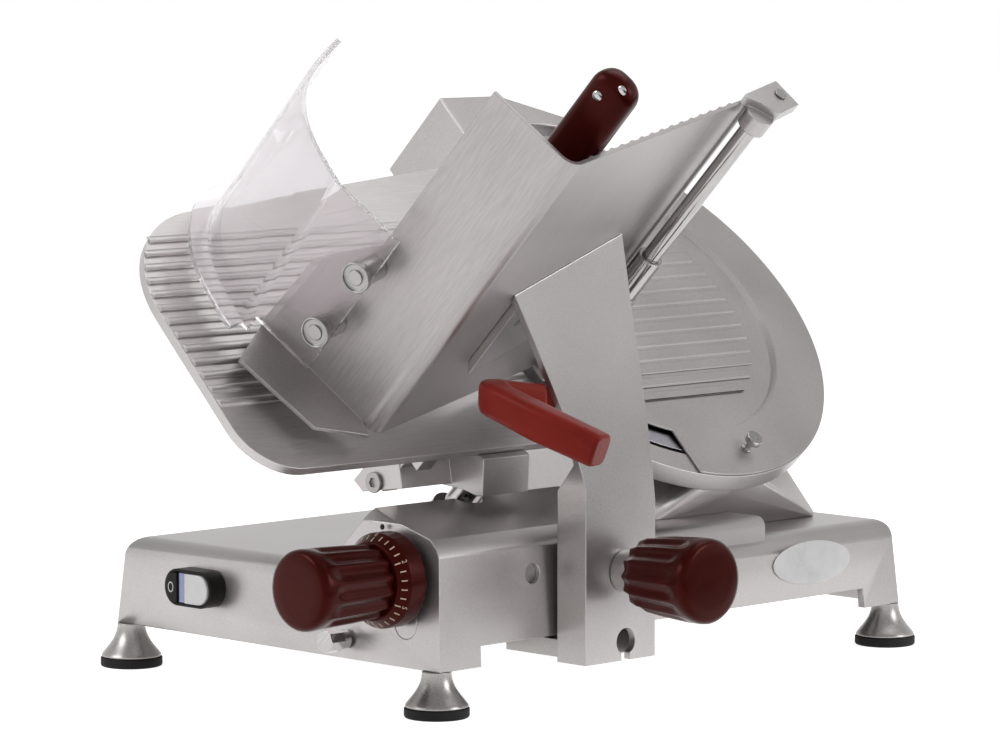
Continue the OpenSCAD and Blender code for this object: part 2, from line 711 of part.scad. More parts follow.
// Gauge plate, its bracket and slide shaft
gauge_off = blade_off - gauge_open;
plate_x0 = -366;
plate_low = 37;
plate_high = 305;
plate_left_high = 273;
corner_low_r = 42;
corner_high_r = 92;
rib_first = 99.5;
gauge_edge_r = blade_r + gauge_gap;
module gauge_outline() difference() {
  polygon(concat(arc([plate_x0 + corner_low_r, plate_low + corner_low_r], corner_low_r, 270, 180, 10),
    arc([plate_x0 + corner_high_r, plate_left_high - corner_high_r], corner_high_r, 180, 94, 16),
    [[plate_end_y, plate_high + (plate_high - plate_left_high) * plate_end_y / -plate_x0],
      [plate_end_y, plate_low]]));
  translate([blade_y, blade_up]) circle(r = gauge_edge_r, $fn = 180);
  translate([gauge_cut_y, plate_low - over]) square([2 * blade_y, blade_up - plate_low]);
}
gauge_cut_y = -18;
rib_short = 3;
plate_end_y = 28;
module gauge_plate() color([0.73, 0.72, 0.73]) place() on_lean() {
  translate([0, 0, gauge_off - gauge_t]) linear_extrude(gauge_t) difference() {
    gauge_outline();
    translate([blade_y, blade_up]) circle(r = gauge_edge_r, $fn = 180);
  }
  for (i = [0:rib_count - 1]) {
    u = rib_first + i * rib_pitch;
    dr = corner_high_r - (u - plate_left_high + corner_high_r);
    x0 = u > plate_left_high - corner_high_r
      ? plate_x0 + corner_high_r - sqrt(max(0, corner_high_r * corner_high_r - pow(u - plate_left_high
        + corner_high_r, 2)))
      : plate_x0;
    x1 = blade_y - sqrt(pow(gauge_edge_r, 2) - pow(u - blade_up, 2));
    translate([x0 + over, u - rib_pitch / 4, gauge_off - over / 2]) intersection() {
      cube([x1 - x0 - rib_short, rib_pitch / 2, rib_h + over / 2]);
      translate([0, rib_pitch / 4, rib_h + over / 2 - rib_pitch / 2]) rod_x(rib_pitch, x1 - x0);
    }
  }
}
bracket_reach = 60;
bracket_y0 = gauge_y - bracket_reach;
box_rear = 35;
box_l = 46;
box_y1 = gauge_y + box_rear;
box_y0 = box_y1 - box_l;
box_share = [[0.09, 0.39], [0.09, 0.56], [0.46, 1], [0.94, 0.98], [1, 0.91], [0.98, 0.15], [0.90, 0.14],
  [0.74, 0.24]];
arm_share = [[0.02, 0.42], [0.22, 0.86], [0.62, 0.92], [0.66, 0.36], [0.14, 0.20]];
box_x0 = 48;
box_z0 = 138;
box_w = 78;
box_h = 35;
arm_x0 = 42;
arm_w = 78;
arm_h = 34;
rib_back_w = 14;
rib_back_high = 190;
rib_back_low = 40;
lug_low = 52;
lug_high = 76;
lug_off = 155;
module gauge_bracket() color([0.66, 0.65, 0.64]) place() {
  difference() {
    union() {
      sweep_y(box_y0, box_y1) polygon([for (p = box_share) [box_x0 + p[0] * box_w, box_z0 + p[1] * box_h]]);
      sweep_y(bracket_y0, box_y0 + over) polygon([for (p = arm_share) [arm_x0 + p[0] * arm_w,
        box_z0 + p[1] * arm_h]]);
      on_lean() translate([bracket_y0 + over, lug_low, lug_off])
        cube([rib_back_w, lug_high - lug_low, gauge_off - gauge_t - seat - lug_off]);
      on_lean() for (y = [bracket_y0 + over, box_y1 - rib_back_w - over])
        translate([y, rib_back_low, gauge_off - gauge_t - seat - rib_back_w])
        cube([rib_back_w, rib_back_high - rib_back_low, rib_back_w]);
    }
    on_lean() translate([gauge_y, gauge_up, 0]) bar(gauge_shaft_d + 2 * seat, shaft_top_off);
    translate([screw_x, bracket_y0 - over, screw_z]) rod_y(clamp_d + 2 * seat, screw_in + over);
    on_lean() translate([-base_l, plate_low - seat, gauge_off - gauge_t - seat])
      cube([2 * base_l, base_l, base_l]);
  }
}
screw_x = 66;
screw_z = 152.5;
screw_in = 12;
clamp_d = 9;
clamp_head_d = 15;
clamp_head_t = 2.5;
clamp_socket_share = 0.8;
shaft_top_off = 196;
shaft_low_off = 66;
gauge_guide_off = 74;
gauge_guide_l = 76;
module gauge_screw() color([0.55, 0.55, 0.56]) place() translate([screw_x, bracket_y0, screw_z])
  difference() {
  union() {
    translate([0, -clamp_head_t - seat, 0]) rod_y(clamp_head_d, clamp_head_t);
    translate([0, -seat - over, 0]) rod_y(clamp_d, screw_in);
  }
  translate([0, -clamp_head_t - 2 * seat - over, 0]) rotate([-90, 0, 0])
    cylinder(d = clamp_d * clamp_socket_share, h = clamp_head_t + over, $fn = 6);
}
module gauge_shaft() color([0.72, 0.72, 0.72]) place() on_lean()
  translate([gauge_y, gauge_up, shaft_low_off])
  bar(gauge_shaft_d, shaft_top_off - shaft_low_off - seat);
module gauge_bushing() color([0.7, 0.55, 0.3]) place() on_lean()
  translate([gauge_y, gauge_up, gauge_guide_off])
  difference() {
    bar(gauge_bush_d, gauge_guide_l);
    translate([0, 0, -over]) bar(gauge_shaft_d + 2 * run_gap, gauge_guide_l + 2 * over);
  }

// Dial, knob and shaft
dial_gap = 4;
dial_back = front_y - dial_gap;
dial_rim_share = 0.64;
dial_top_share = 0.96;
cam_d = 36;
cam_t = 6;
cam_gap = 44;
cam_y = gauge_y - cam_gap;
knob_share = [[0.90, 0], [0.93, 0.1], [0.97, 0.4], [1, 0.75], [1, 0.93], [0.96, 0.985], [0.9, 1]];
lock_share = [[0.70, 0], [0.80, 0.04], [0.89, 0.16], [0.95, 0.4], [1, 0.75], [1, 0.93], [0.96, 0.985],
  [0.9, 1]];
module knob_body(d, l, flute_depth, profile) difference() {
  rotate_extrude($fn = 96) polygon(concat([[0, 0]], [for (p = profile) [d / 2 * p[0], l * p[1]]],
    [[0, l]]));
  for (i = [0:flutes - 1]) rotate(i * 360 / flutes) translate([d / 2 + flute_depth / 2, 0, -over])
    cylinder(d = 4 * flute_depth, h = l * flute_len_share + over, $fn = 8);
}
flute_len_share = 0.84;
flute_in = 1.7;
module dial_bushing() color([0.7, 0.55, 0.3]) place() translate([dial_x, front_y + over, dial_z])
  difference() {
  rod_y(dial_bush_d, 2 * wall + draft);
  translate([0, -over, 0]) rod_y(dial_shaft_d + 2 * run_gap, 3 * wall + draft);
}
module dial_shaft() color([0.6, 0.6, 0.6]) place() translate([dial_x, dial_back - dial_t / 2, dial_z]) {
  rod_y(dial_shaft_d, cam_y - dial_back + dial_t / 2 + cam_t);
  translate([0, cam_y - dial_back + dial_t / 2, 0]) rod_y(cam_d, cam_t);
}
module dial_disc() color([0.42, 0.08, 0.07]) place() translate([dial_x, dial_back, dial_z])
  rotate([90, 0, 0])
  difference() {
    union() {
      cylinder(d = dial_d, h = dial_t * dial_rim_share, $fn = 96);
      translate([0, 0, dial_t * dial_rim_share])
        cylinder(d1 = dial_d, d2 = knob_d * dial_top_share, h = dial_t * (1 - dial_rim_share) - seat,
          $fn = 96);
    }
    translate([0, 0, -over]) bar(dial_shaft_d + 2 * seat, dial_t / 2 + 2 * over);
  }
module dial_knob() color([0.36, 0.07, 0.06]) place() translate([dial_x, dial_back - dial_t, dial_z])
  rotate([90, 0, 0]) knob_body(knob_d, knob_l, flute_in, knob_share);

// Small chrome knob below the dial
small_x = 77;
small_z = 46;
small_d = 17;
small_l = 20;
small_shaft_d = 6;
small_neck_d_share = 0.8;
small_neck_l_share = 0.35;
module small_knob() color([0.85, 0.85, 0.86]) place() translate([small_x, front_y - over, small_z]) {
  translate([0, 2 * wall, 0]) rotate([90, 0, 0]) bar(small_shaft_d, 2 * wall + small_l / 2);
  rotate([90, 0, 0]) cylinder(d = small_d * small_neck_d_share, h = small_l * small_neck_l_share, $fn = 48);
  translate([0, -small_l * small_neck_l_share, 0]) rotate([90, 0, 0])
    cylinder(d = small_d, h = small_l * (1 - small_neck_l_share), $fn = 8);
}

// Carriage rail, guide bar and block under the base
rail_x = 136;
boss_l = 14;
guide_x = 110;
guide_z = 79;
guide_d = 10;
guide_in = 10;
guide_cheek_share = 0.8;
guide_slot_share = 1.5;
rail_l = base_l - 2 * wall;
block_l = 70;
block_y = -97;
block_w = 38;
block_h = 36;
foot_z = 30;
foot_t = 13;
module guide_rail() color([0.75, 0.75, 0.76]) place() translate([rail_x, -rail_l / 2, rail_z])
  rod_y(rail_d, rail_l);
module guide_bar() color([0.75, 0.75, 0.76]) place()
  translate([guide_x, -rail_l / 2, guide_z]) rod_y(guide_d, rail_l);
module carriage_block() color([0.5, 0.5, 0.52]) place() difference() {
  union() {
    translate([rail_x - block_w / 2, block_y - block_l / 2, rail_z - block_h / 2])
      cube([block_w, block_l, block_h]);
    translate([guide_x - guide_cheek_share * guide_d, block_y - block_l / 4, rail_z - over])
      cube([block_w, block_l / 2, block_h / 2]);
  }
  translate([rail_x, block_y - block_l, rail_z]) rod_y(rail_d + 2 * run_gap, 2 * block_l);
  translate([guide_x - guide_d - over, block_y - block_l, guide_z - guide_d / 2 - pass])
    cube([guide_slot_share * guide_d + over + pass, 2 * block_l, 2 * guide_d]);
}
upright_x0 = arm_x - arm_foot_t + pass;
upright_t = 12;
upright_top = 134;
upright_w = 56;
lock_screw_d = 12;
module carriage_bracket() color([0.5, 0.5, 0.52]) place() difference() {
  union() {
    translate([rail_x - block_w / 2, block_y - upright_w / 2, foot_z])
      cube([upright_x0 + upright_t - rail_x + block_w / 2, upright_w, foot_t]);
    translate([rail_x - block_w / 2, block_y - upright_w / 2, foot_z])
      cube([block_w, upright_w, rail_z - block_h / 2 - foot_z - seat]);
    translate([upright_x0, block_y - upright_w / 2, foot_z])
      cube([upright_t, upright_w, upright_top - foot_z]);
  }
  translate([upright_x0 - over, lock_y, lock_z]) rod_x(lock_screw_d + 2 * run_gap, upright_t + 2 * over);
}

// Carriage arm: a hollow foot outside the base and a wall that rises to the tray
arm_y0 = -131.8;
arm_y1 = -61.2;
arm_low_z = 28;
arm_neck_z = 150;
arm_slope_z = 170;
arm_outline = [[-204, 296], [-96, 331], [-86.7, 281.3], [-73.1, 215.8], [-65.7, 174], [arm_y1, 139.4],
  [arm_y1, arm_low_z], [arm_y0, arm_low_z], [arm_y0, 153.2], [-137.1, 167.7], [-151.4, 203], [-169.8,
    235.7]];
arm_pocket = 5;
key_r = 9.5;
key_slot = 9;
key_z = 41.5;
key_y = -91;
flange_w = 46;
flange_t = 6;
module at_tray() on_lean() translate([bend_y, bend_up, 0]) children();
module table_space(g) at_tray() rotate([0, 0, table_rise]) translate([-table_w, -g, -base_l])
  cube([3 * table_w, table_w, 3 * base_l]);
module carriage_arm() color([0.80, 0.81, 0.84]) place() {
  difference() {
    intersection() {
      sweep_x(arm_x - arm_foot_t, arm_x) polygon(arm_outline);
      sweep_y(-base_y, base_y) polygon([[arm_x - arm_foot_t, arm_low_z], [arm_x, arm_low_z],
        [arm_x, tray_top_z],
        [arm_x - arm_t, tray_top_z], [arm_x - arm_t, arm_slope_z], [arm_x - arm_foot_t, arm_neck_z]]);
    }
    table_space(seat);
    translate([arm_x - arm_foot_t - over, arm_y0 + arm_pocket, arm_low_z - over])
      cube([arm_foot_t + over - arm_t, arm_y1 - arm_y0 - 2 * arm_pocket,
        upright_top - arm_low_z + 2 * over]);
    translate([arm_x - arm_foot_t - over, lock_y, lock_z])
      rod_x(lock_screw_d + 2 * run_gap, arm_foot_t + 2 * over);
    translate([arm_x - arm_t - seat - handle_tab[0], handle_root[1], handle_root[2] - handle_tab[2] / 2])
      each_tab_screw()
      rod_x(tab_screw_d + 2 * seat, handle_tab[0] + 2 * arm_t / 3);
    translate([arm_x - arm_t - over, key_y, key_z]) rod_x(2 * key_r, arm_t + 2 * over);
    translate([arm_x - arm_t - over, key_y - key_slot / 2, 0]) cube([arm_t + 2 * over, key_slot, key_z]);
  }
  arm_flange();
}
tray_top_z = 400;
flange_y0 = -196;
flange_y1 = -104;
module arm_flange() difference() {
  intersection() {
    at_tray() rotate([0, 0, table_rise]) translate([0, -seat - flange_t, 0])
      cube([table_w, flange_t, tray_l + blade_off]);
    translate([arm_x - arm_t - flange_w, flange_y0, 0])
      cube([flange_w + over, flange_y1 - flange_y0, tray_top_z]);
  }
  each_tray_screw() translate([0, 0, -table_w / 2]) bar(tray_screw_d + 2 * seat, table_w);
}
tray_screw_d = 6;
tray_head_d = 12;
tray_head_t = 2;
tray_screw_at = [[86, 320], [126, 320]];
module each_tray_screw() for (p = tray_screw_at) at_tray() rotate([0, 0, table_rise])
  translate([p[0], 0, p[1]])
  rotate([-90, 0, 0]) children();
module tray_screws() color([0.7, 0.7, 0.7]) place() each_tray_screw() {
  translate([0, 0, sheet_t + seat]) bar(tray_head_d, tray_head_t);
  translate([0, 0, -flange_t - 4 * seat]) bar(tray_screw_d, flange_t + sheet_t + 6 * seat);
}

ferrule_d = 30;
ferrule_l = 16;
module arm_ferrule() color([0.66, 0.66, 0.65]) place() difference() {
  translate([arm_x + seat, lock_y, lock_z]) rod_x(ferrule_d, ferrule_l - seat);
  translate([arm_x - over, lock_y, lock_z]) rod_x(lock_screw_d + 2 * run_gap, ferrule_l + 2 * over);
}
module lock_knob() color([0.38, 0.07, 0.06]) place() {
  translate([arm_x + ferrule_l + pass, lock_y, lock_z]) rotate([0, 90, 0])
    knob_body(lock_d, lock_l, flute_in, lock_share);
  translate([upright_x0 + over, lock_y, lock_z]) rod_x(lock_screw_d,
    arm_x + ferrule_l + 2 * over - upright_x0);
}

// Carriage handle: a root arm forward of the carriage arm and a grip bar out to the side
handle_root = [196, -178, 219];
handle_corner = [200, -224, 225];
handle_mid = [247, -221, 209];
handle_end = [290, -209, 193];
handle_w = 22;
handle_h = 21;
handle_tab = [5, 46, 15];
handle_side_share = 0.6;
handle_top_share = 0.8;
handle_root_share = 0.92;
handle_mid_share = 1.02;
handle_end_share = 0.96;
module handle_block(p, k) translate(p) {
  cylinder(d = handle_w * k, h = handle_h * handle_side_share, center = true, $fn = 8);
  cylinder(d = handle_w * k * handle_top_share, h = handle_h, center = true, $fn = 8);
}
module carriage_handle() color([0.62, 0.13, 0.11]) place() {
  hull() {
    handle_block(handle_root, handle_root_share);
    handle_block(handle_corner, 1);
  }
  hull() {
    handle_block(handle_corner, 1);
    handle_block(handle_mid, handle_mid_share);
  }
  hull() {
    handle_block(handle_mid, handle_mid_share);
    handle_block(handle_end, handle_end_share);
  }
  translate([arm_x - arm_t - seat - handle_tab[0], handle_root[1], handle_root[2] - handle_tab[2] / 2])
    difference() {
    cube(handle_tab);
    each_tab_screw() translate([-arm_t, 0, 0]) rod_x(tab_screw_d + 2 * seat, 4 * arm_t);
  }
}
tab_screw_d = 4;
tab_head_d = 8;
tab_screw_share = [0.62, 0.86];
module each_tab_screw() for (k = tab_screw_share) translate([0, handle_tab[1] * k, handle_tab[2] / 2])
  children();
module handle_screws() color([0.6, 0.6, 0.6]) place()
  translate([arm_x - arm_t - seat - handle_tab[0], handle_root[1], handle_root[2] - handle_tab[2] / 2])
    each_tab_screw() {
    translate([-over - seat, 0, 0]) rod_x(tab_head_d, over);
    translate([-2 * seat, 0, 0]) rod_x(tab_screw_d, handle_tab[0] + arm_t / 2);
  }

// Product tray: fence and table bent from one sheet
tray_off0 = blade_off + tray_gap;
tray_off1 = tray_off0 + tray_l;
fence_a = 90 + fence_lean;
function dir(a) = [cos(a), sin(a)];
bend_c = bend_r / sin((fence_a - table_rise) / 2) * dir((fence_a + table_rise) / 2);
bend_back = bend_r / tan((fence_a - table_rise) / 2);
hem_w = 3;
hem_t = 1.5;
module tray_profile(h) difference() {
  polygon(concat([h * dir(fence_a)], arc(bend_c, bend_r, fence_a + 90, table_rise + 270, 10),
    [(table_w - hem_w) * dir(table_rise)],
    [(table_w - hem_w) * dir(table_rise) - hem_t * dir(table_rise + 90)], [table_w * dir(table_rise) - hem_t
      * dir(table_rise + 90)],
    [table_w * dir(table_rise) + sheet_t * dir(table_rise + 90)],
    flip(arc(bend_c, bend_r - sheet_t, fence_a + 90, table_rise + 270,
      10)), [h * dir(fence_a) + sheet_t * dir(fence_a - 90)]));
}
// What is cut off the fence: places up the tray, from its lower end, where the fence narrows
fence_step_share = [0.05, 0.27, 0.45];
fence_slope = 1;
fence_drop = 5;
module fence_cut() polygon([[0, fence_low_h], [tray_l * fence_step_share[0], fence_low_h - fence_slope],
  [tray_l * fence_step_share[1], fence_low_h - fence_drop], [tray_l * fence_step_share[2], fence_h],
  [tray_l + over, fence_h], [tray_l + over, fence_low_h + over], [0, fence_low_h + over]]);
table_rib_w = 5;
table_rib_h = 1.1;
module table_rib_2d() polygon(concat([[-table_rib_w / 2, -sheet_t / 2]],
  [for (k = [0:6]) [-table_rib_w / 2 * cos(30 * k), table_rib_h * sin(30 * k)]], [[table_rib_w / 2,
    -sheet_t / 2]]));
table_rib_0 = 26;
table_rib_count = floor((table_w - 2 * table_rib_0) / rib_pitch) + 1;
module product_tray() color([0.72, 0.70, 0.70]) place() difference() {
  union() {
    at_tray() translate([0, 0, tray_off0]) linear_extrude(tray_l) {
      tray_profile(fence_low_h);
      rotate(table_rise) for (i = [0:table_rib_count - 1])
        translate([table_rib_0 + i * rib_pitch, sheet_t]) table_rib_2d();
    }
    at_tray() translate([0, 0, tray_off0]) linear_extrude(sheet_t) polygon([
      (fence_low_h - fence_slope) * dir(fence_a) + sheet_t / 2 * dir(fence_a - 90),
      (fence_low_h - fence_slope) * dir(fence_a),
      [wing_tip[0] - bend_y, wing_tip[1] - bend_up], [wing_low[0] - bend_y, wing_low[1] - bend_up],
      [wing_in[0] - bend_y, wing_in[1] - bend_up], bend_r * dir(fence_a),
      2 * bend_r * dir(fence_a) + sheet_t / 2 * dir(fence_a - 90)]);
  }
  at_fence() translate([2 * sheet_t, 0, tray_off0]) rotate([0, -90, 0]) linear_extrude(3 * sheet_t)
    fence_cut();
  each_tray_screw() bar(tray_screw_d + 2 * seat, 2 * sheet_t);
  each_tray_screw() translate([0, 0, sheet_t + seat / 2]) bar(tray_head_d + 2 * pass, 2 * sheet_t);
  each_standoff() translate([0, 0, -4 * sheet_t]) bar(guard_bolt_d + 2 * seat, 6 * sheet_t);
}
wing_tip = [-339.8, 123.6];
wing_low = [-312.1, 59.2];
wing_in = [-269, 47.8];

// Rod along the table's outer edge, held at both ends
// Rod axis from the table's outer edge
rod_from_edge = [-4.6, -15.3];
rod_y_at = bend_y + table_w * cos(table_rise) + rod_from_edge[0];
rod_up = bend_up + table_w * sin(table_rise) + rod_from_edge[1];
rod_foot_off = tray_off0 + over;
rod_foot_l = 16;
bracket_in = 2;
bracket_off = tray_off1 - bracket_in;
rod_short = 3;
bracket_l = 8;
module rod_foot() color([0.66, 0.66, 0.66]) place() difference() {
  on_lean() translate([0, 0, rod_foot_off]) linear_extrude(rod_foot_l) union() {
    translate([rod_y_at, rod_up]) circle(d = rod_d + 2 * wall, $fn = 48);
    polygon(foot_outline());
  }
  on_lean() translate([rod_y_at, rod_up, rod_foot_off + wall]) bar(rod_d + 2 * seat, rod_foot_l);
  table_space(seat);
}
function foot_outline() = [[rod_y_at - 2 * rod_d, rod_up - wall], [rod_y_at, rod_up - rod_d],
  [rod_y_at + rod_d, rod_up], [rod_y_at + rod_d / 2, rod_up + rod_d], [rod_y_at - 2 * rod_d,
  rod_up + wall]];
end_boss_d = 21;
end_boss_l = 10;
end_boss_in = 3;
bracket_outline = [[30.4, 25], [36.2, 2], [10, -6], [-1, 5], [-11, 11], [-10, 13.5]];
module end_bracket() color([0.68, 0.67, 0.67]) place() difference() {
  union() {
    on_lean() translate([rod_y_at, rod_up, tray_off1 + seat]) linear_extrude(bracket_l)
      polygon(bracket_outline);
    on_lean() translate([rod_y_at, rod_up, bracket_off - end_boss_l + over])
      bar(end_boss_d, end_boss_l + end_boss_in);
  }
  on_lean() translate([rod_y_at, rod_up, 0]) bar(rod_d + 2 * seat, tray_off1 - bracket_in);
  on_lean() translate([end_screw_at[0], end_screw_at[1], tray_off1])
    bar(end_screw_d + 2 * seat, 2 * bracket_l);
}
end_screw_from_rod = [24.2, 11.6];
end_screw_at = [rod_y_at, rod_up] + end_screw_from_rod;
end_screw_d = 6;
end_head_d = 9;
end_head_t = 1.5;
module end_screw() color([0.5, 0.5, 0.5]) place() on_lean()
  translate([end_screw_at[0], end_screw_at[1], tray_off1 + bracket_l + 2 * seat]) {
  bar(end_head_d, end_head_t);
  translate([0, 0, over - bracket_l]) bar(end_screw_d, bracket_l);
}
module pusher_rod() color([0.62, 0.60, 0.60]) place() on_lean()
  translate([rod_y_at, rod_up, rod_foot_off + wall + seat])
  bar(rod_d, tray_off1 - rod_short - rod_foot_off - wall - seat);

// Pusher: a sleeve on the rod, a swing arm with a toothed plate, and the grip
sleeve_gap = 2;
sleeve_step = 3;
sleeve_off = tray_off0 + rod_foot_l + push_down + sleeve_gap;
collar_off = 20;
collar_l = 14;
collar_d = 22;
plate_off = sleeve_off - sleeve_gap;
plate_thick = 3;
grip_y = -228.5;
grip_up = 80;
grip_off1 = 550;
tang_w = 16;
tang_t = 5;
pusher_lift = 4.5;
module pusher_sleeve() color([0.75, 0.74, 0.73]) place() on_lean() translate([rod_y_at, rod_up, sleeve_off])
  difference() {
  union() {
    bar(sleeve_d, sleeve_l);
    bar(sleeve_d + sleeve_step, collar_off - pass);
  }
  translate([0, 0, -over]) bar(rod_d + 2 * run_gap, sleeve_l + 2 * over);
}
// Places of the swing arm in the table's frame: along the table, and up from it
spoke_gap = 4;
spoke_w = 12;
spoke_in = table_w + spoke_gap;
spoke_out = spoke_in + spoke_w;
arm_bar_x = 34;
arm_bar_h = 12;
module at_table() at_tray() rotate([0, 0, table_rise]) children();
module at_fence_grip(n) on_lean() translate([grip_y, grip_up, n]) rotate([0, 0, fence_lean]) children();
module pusher_arm() color([0.66, 0.66, 0.67]) place() {
  on_lean() translate([0, 0, sleeve_off + collar_off]) linear_extrude(collar_l) difference() {
    union() {
      translate([rod_y_at, rod_up]) circle(d = collar_d, $fn = 64);
      translate([bend_y, bend_up]) rotate(table_rise)
        polygon([[arm_bar_x, sheet_t + pusher_lift], [spoke_in, sheet_t + pusher_lift], [spoke_in, -wall],
          [spoke_in - wall, -2 * wall], [spoke_in - wall, -3 * wall], [spoke_in, -3 * wall], [spoke_out,
            -wall],
          [spoke_out, sheet_t + pusher_lift + wall], [spoke_out - wall, sheet_t + pusher_lift + arm_bar_h],
          [arm_bar_x, sheet_t + pusher_lift + arm_bar_h]]);
    }
    translate([rod_y_at, rod_up]) circle(d = sleeve_d + 2 * run_gap, $fn = 64);
  }
  at_table() translate([0, sheet_t + pusher_lift, plate_off]) linear_extrude(plate_thick)
    polygon(toothed());
  at_fence_grip(plate_off) translate([-tang_t / 2, -grip_w / 2, 0])
    cube([tang_t, tang_w, grip_off1 - grip_l / 2 - plate_off]);
}
toothed_x0 = 22;
toothed_x1 = 166;
toothed_h = 52;
tooth_h = 4;
tooth_side_share = 0.7;
tooth_top_share = 0.8;
teeth = 16;
function toothed() = concat([for (i = [0:2 * teeth]) [toothed_x0 + (toothed_x1 - toothed_x0) * i / (2
  * teeth), i % 2 == 0 ? 0 : tooth_h]],
  [[toothed_x1, toothed_h * tooth_side_share], [toothed_x1 * tooth_top_share, toothed_h],
    [toothed_x0 + 2 * wall, toothed_h], [toothed_x0, toothed_h * tooth_side_share]]);
grip_corner = 13;
grip_round = 10.8;
function round_top(w, l, r) = concat([[-w / 2, 0]], arc([-w / 2 + r, l - r], r, 180, 90, 8),
  arc([w / 2 - r, l - r], r, 90, 0, 8), [[w / 2, 0]]);
module pusher_grip() color([0.26, 0.05, 0.05]) place() difference() {
  at_fence_grip(grip_off1 - grip_l) intersection() {
    rotate([0, 0, 90]) linear_extrude(grip_l) slot_2d(grip_w, grip_t, grip_t / 2 - seat);
    translate([-grip_w / 2, 0, 0]) rotate([90, 0, 90]) linear_extrude(grip_w)
      polygon(round_top(grip_w, grip_l, grip_corner));
    translate([0, grip_w / 2, 0]) rotate([90, 0, 0]) linear_extrude(grip_w)
      polygon(round_top(grip_t, grip_l, grip_round));
  }
  at_fence_grip(plate_off) translate([-tang_t / 2 - seat, -grip_w / 2 - seat, 0])
    cube([tang_t + 2 * seat, tang_w + 2 * seat, grip_off1 - grip_l / 2 - plate_off + seat]);
  each_grip_screw() translate([0, 0, -grip_t]) bar(grip_screw_d + 2 * seat, 3 * grip_t / 2);
}
grip_screw_d = 7;
// Across the grip, down from its top, and in from its outer face
grip_screw_at = [[5, -19, 0.5], [-5.5, -4, 3]];
module each_grip_screw() for (p = grip_screw_at) at_fence_grip(grip_off1 + p[1])
  translate([-grip_t / 2 + p[2], p[0], 0])
  rotate([0, 90, 0]) children();
module grip_screws() color([0.75, 0.45, 0.45]) place() each_grip_screw() bar(grip_screw_d, grip_t / 4);

// Thumb guard: a clear curved sheet held off the fence, with a stiffening lip at its lower end
guard_low = 61;
guard_off0 = 243;
guard_lip_off = 230;
guard_off1 = 371;
guard_step = 112;
lip_w = 14;
guard_bolt_d = 6;
standoff_d = 18;
guard_head_d = 22;
guard_head_t = 5;
guard_dish = 2;
guard_rim = 3;
standoff_at = [[69.5, 329.5], [70.2, 273]];
module at_fence() at_tray() rotate([0, 0, fence_lean]) children();
// Stretches of the sheet: length, then the heading at its start and at its end
guard_path = [[guard_flat, 0, 0], [8, 0, 22], [22, 22, 22], [66, 22, 58], [34, 58, 75], [46, 75, 78]];
guard_cut = 5;
guard_steps = [for (s = guard_path, i = [0:guard_cut - 1]) [s[0] / guard_cut,
  s[1] + (s[2] - s[1]) * (i + 0.5) / guard_cut]];
function run(k) = k == 0 ? [0, 0] : run(k - 1) + guard_steps[k - 1][0] * [sin(guard_steps[k - 1][1]),
  cos(guard_steps[k - 1][1])];
function heading(k) = k == 0 ? 0 : k >= len(guard_steps) ? guard_steps[k - 1][1] : (guard_steps[k - 1][1]
  + guard_steps[k][1]) / 2;
function guard_line(g, k0) = [for (k = [k0:len(guard_steps)]) [-guard_off,
  guard_low] + run(k) + g * [cos(heading(k)), -sin(heading(k))]];
lip_k = guard_cut + 1;
lip_end = 8;
function lip_line() = [for (k = [lip_k:len(guard_steps)]) [-guard_off, guard_low] + run(k)
  - lip_w * sin(90 * min(1, (len(guard_steps) - k) / lip_end)) * [cos(heading(k)), -sin(heading(k))]];
module thumb_guard() color([0.86, 0.82, 0.84, 0.5]) place() at_fence() difference() {
  union() {
    translate([0, 0, guard_lip_off]) linear_extrude(guard_off1 - guard_lip_off)
      polygon(concat(guard_line(0, 0), flip(guard_line(guard_t, 0))));
    translate([0, 0, guard_lip_off]) linear_extrude(guard_t)
      polygon(concat(guard_line(guard_t, lip_k), flip(lip_line())));
  }
  translate([-table_w, 0, guard_lip_off - over]) cube([2 * table_w, guard_step,
    guard_off0 - guard_lip_off + over]);
  each_standoff_place() translate([0, 0, -guard_t]) bar(guard_bolt_d + 2 * seat, 2 * guard_off);
}
module each_standoff_place() for (p = standoff_at) translate([0, p[0], p[1]]) rotate([0, -90, 0])
  children();
module each_standoff() at_fence() each_standoff_place() children();
module guard_standoffs() color([0.6, 0.59, 0.58]) place() each_standoff() difference() {
  translate([0, 0, seat]) bar(standoff_d, guard_off - guard_t - 2 * seat);
  bar(guard_bolt_d + 2 * seat, 2 * guard_off);
}
module guard_screws() color([0.45, 0.43, 0.42]) place() each_standoff() {
  translate([0, 0, guard_off + seat]) difference() {
    bar(guard_head_d, guard_head_t);
    translate([0, 0, guard_head_t - guard_dish]) bar(guard_head_d - guard_rim, guard_dish + over);
  }
  translate([0, 0, guard_off + guard_head_t / 2]) bar(guard_head_d / 2, guard_head_t / 2);
  translate([0, 0, -sheet_t + seat]) bar(guard_bolt_d, guard_off + guard_head_t);
}

base_casting();
bottom_plate();
foot_cones();
foot_pads();
switch_bezel();
switch_block();
pilot_lamp();
stop_button();
start_button();
blank_plate();
side_plug();
cable_gland();
drive_pedestal();
motor();
motor_pulley();
drive_belt();
blade_bearings();
blade_hub();
blade();
blade_screws();
ring_guard();
blade_cover();
cover_pin();
slice_deflector();
sharpener_bracket();
sharpener_cover();
grinding_stone();
honing_stone();
gauge_plate();
gauge_bracket();
gauge_screw();
gauge_shaft();
gauge_bushing();
dial_bushing();
dial_shaft();
dial_disc();
dial_knob();
small_knob();
guide_rail();
guide_bar();
carriage_block();
carriage_bracket();
carriage_arm();
arm_ferrule();
lock_knob();
carriage_handle();
handle_screws();
product_tray();
tray_screws();
rod_foot();
end_bracket();
end_screw();
pusher_rod();
pusher_sleeve();
pusher_arm();
pusher_grip();
grip_screws();
thumb_guard();
guard_standoffs();
guard_screws();
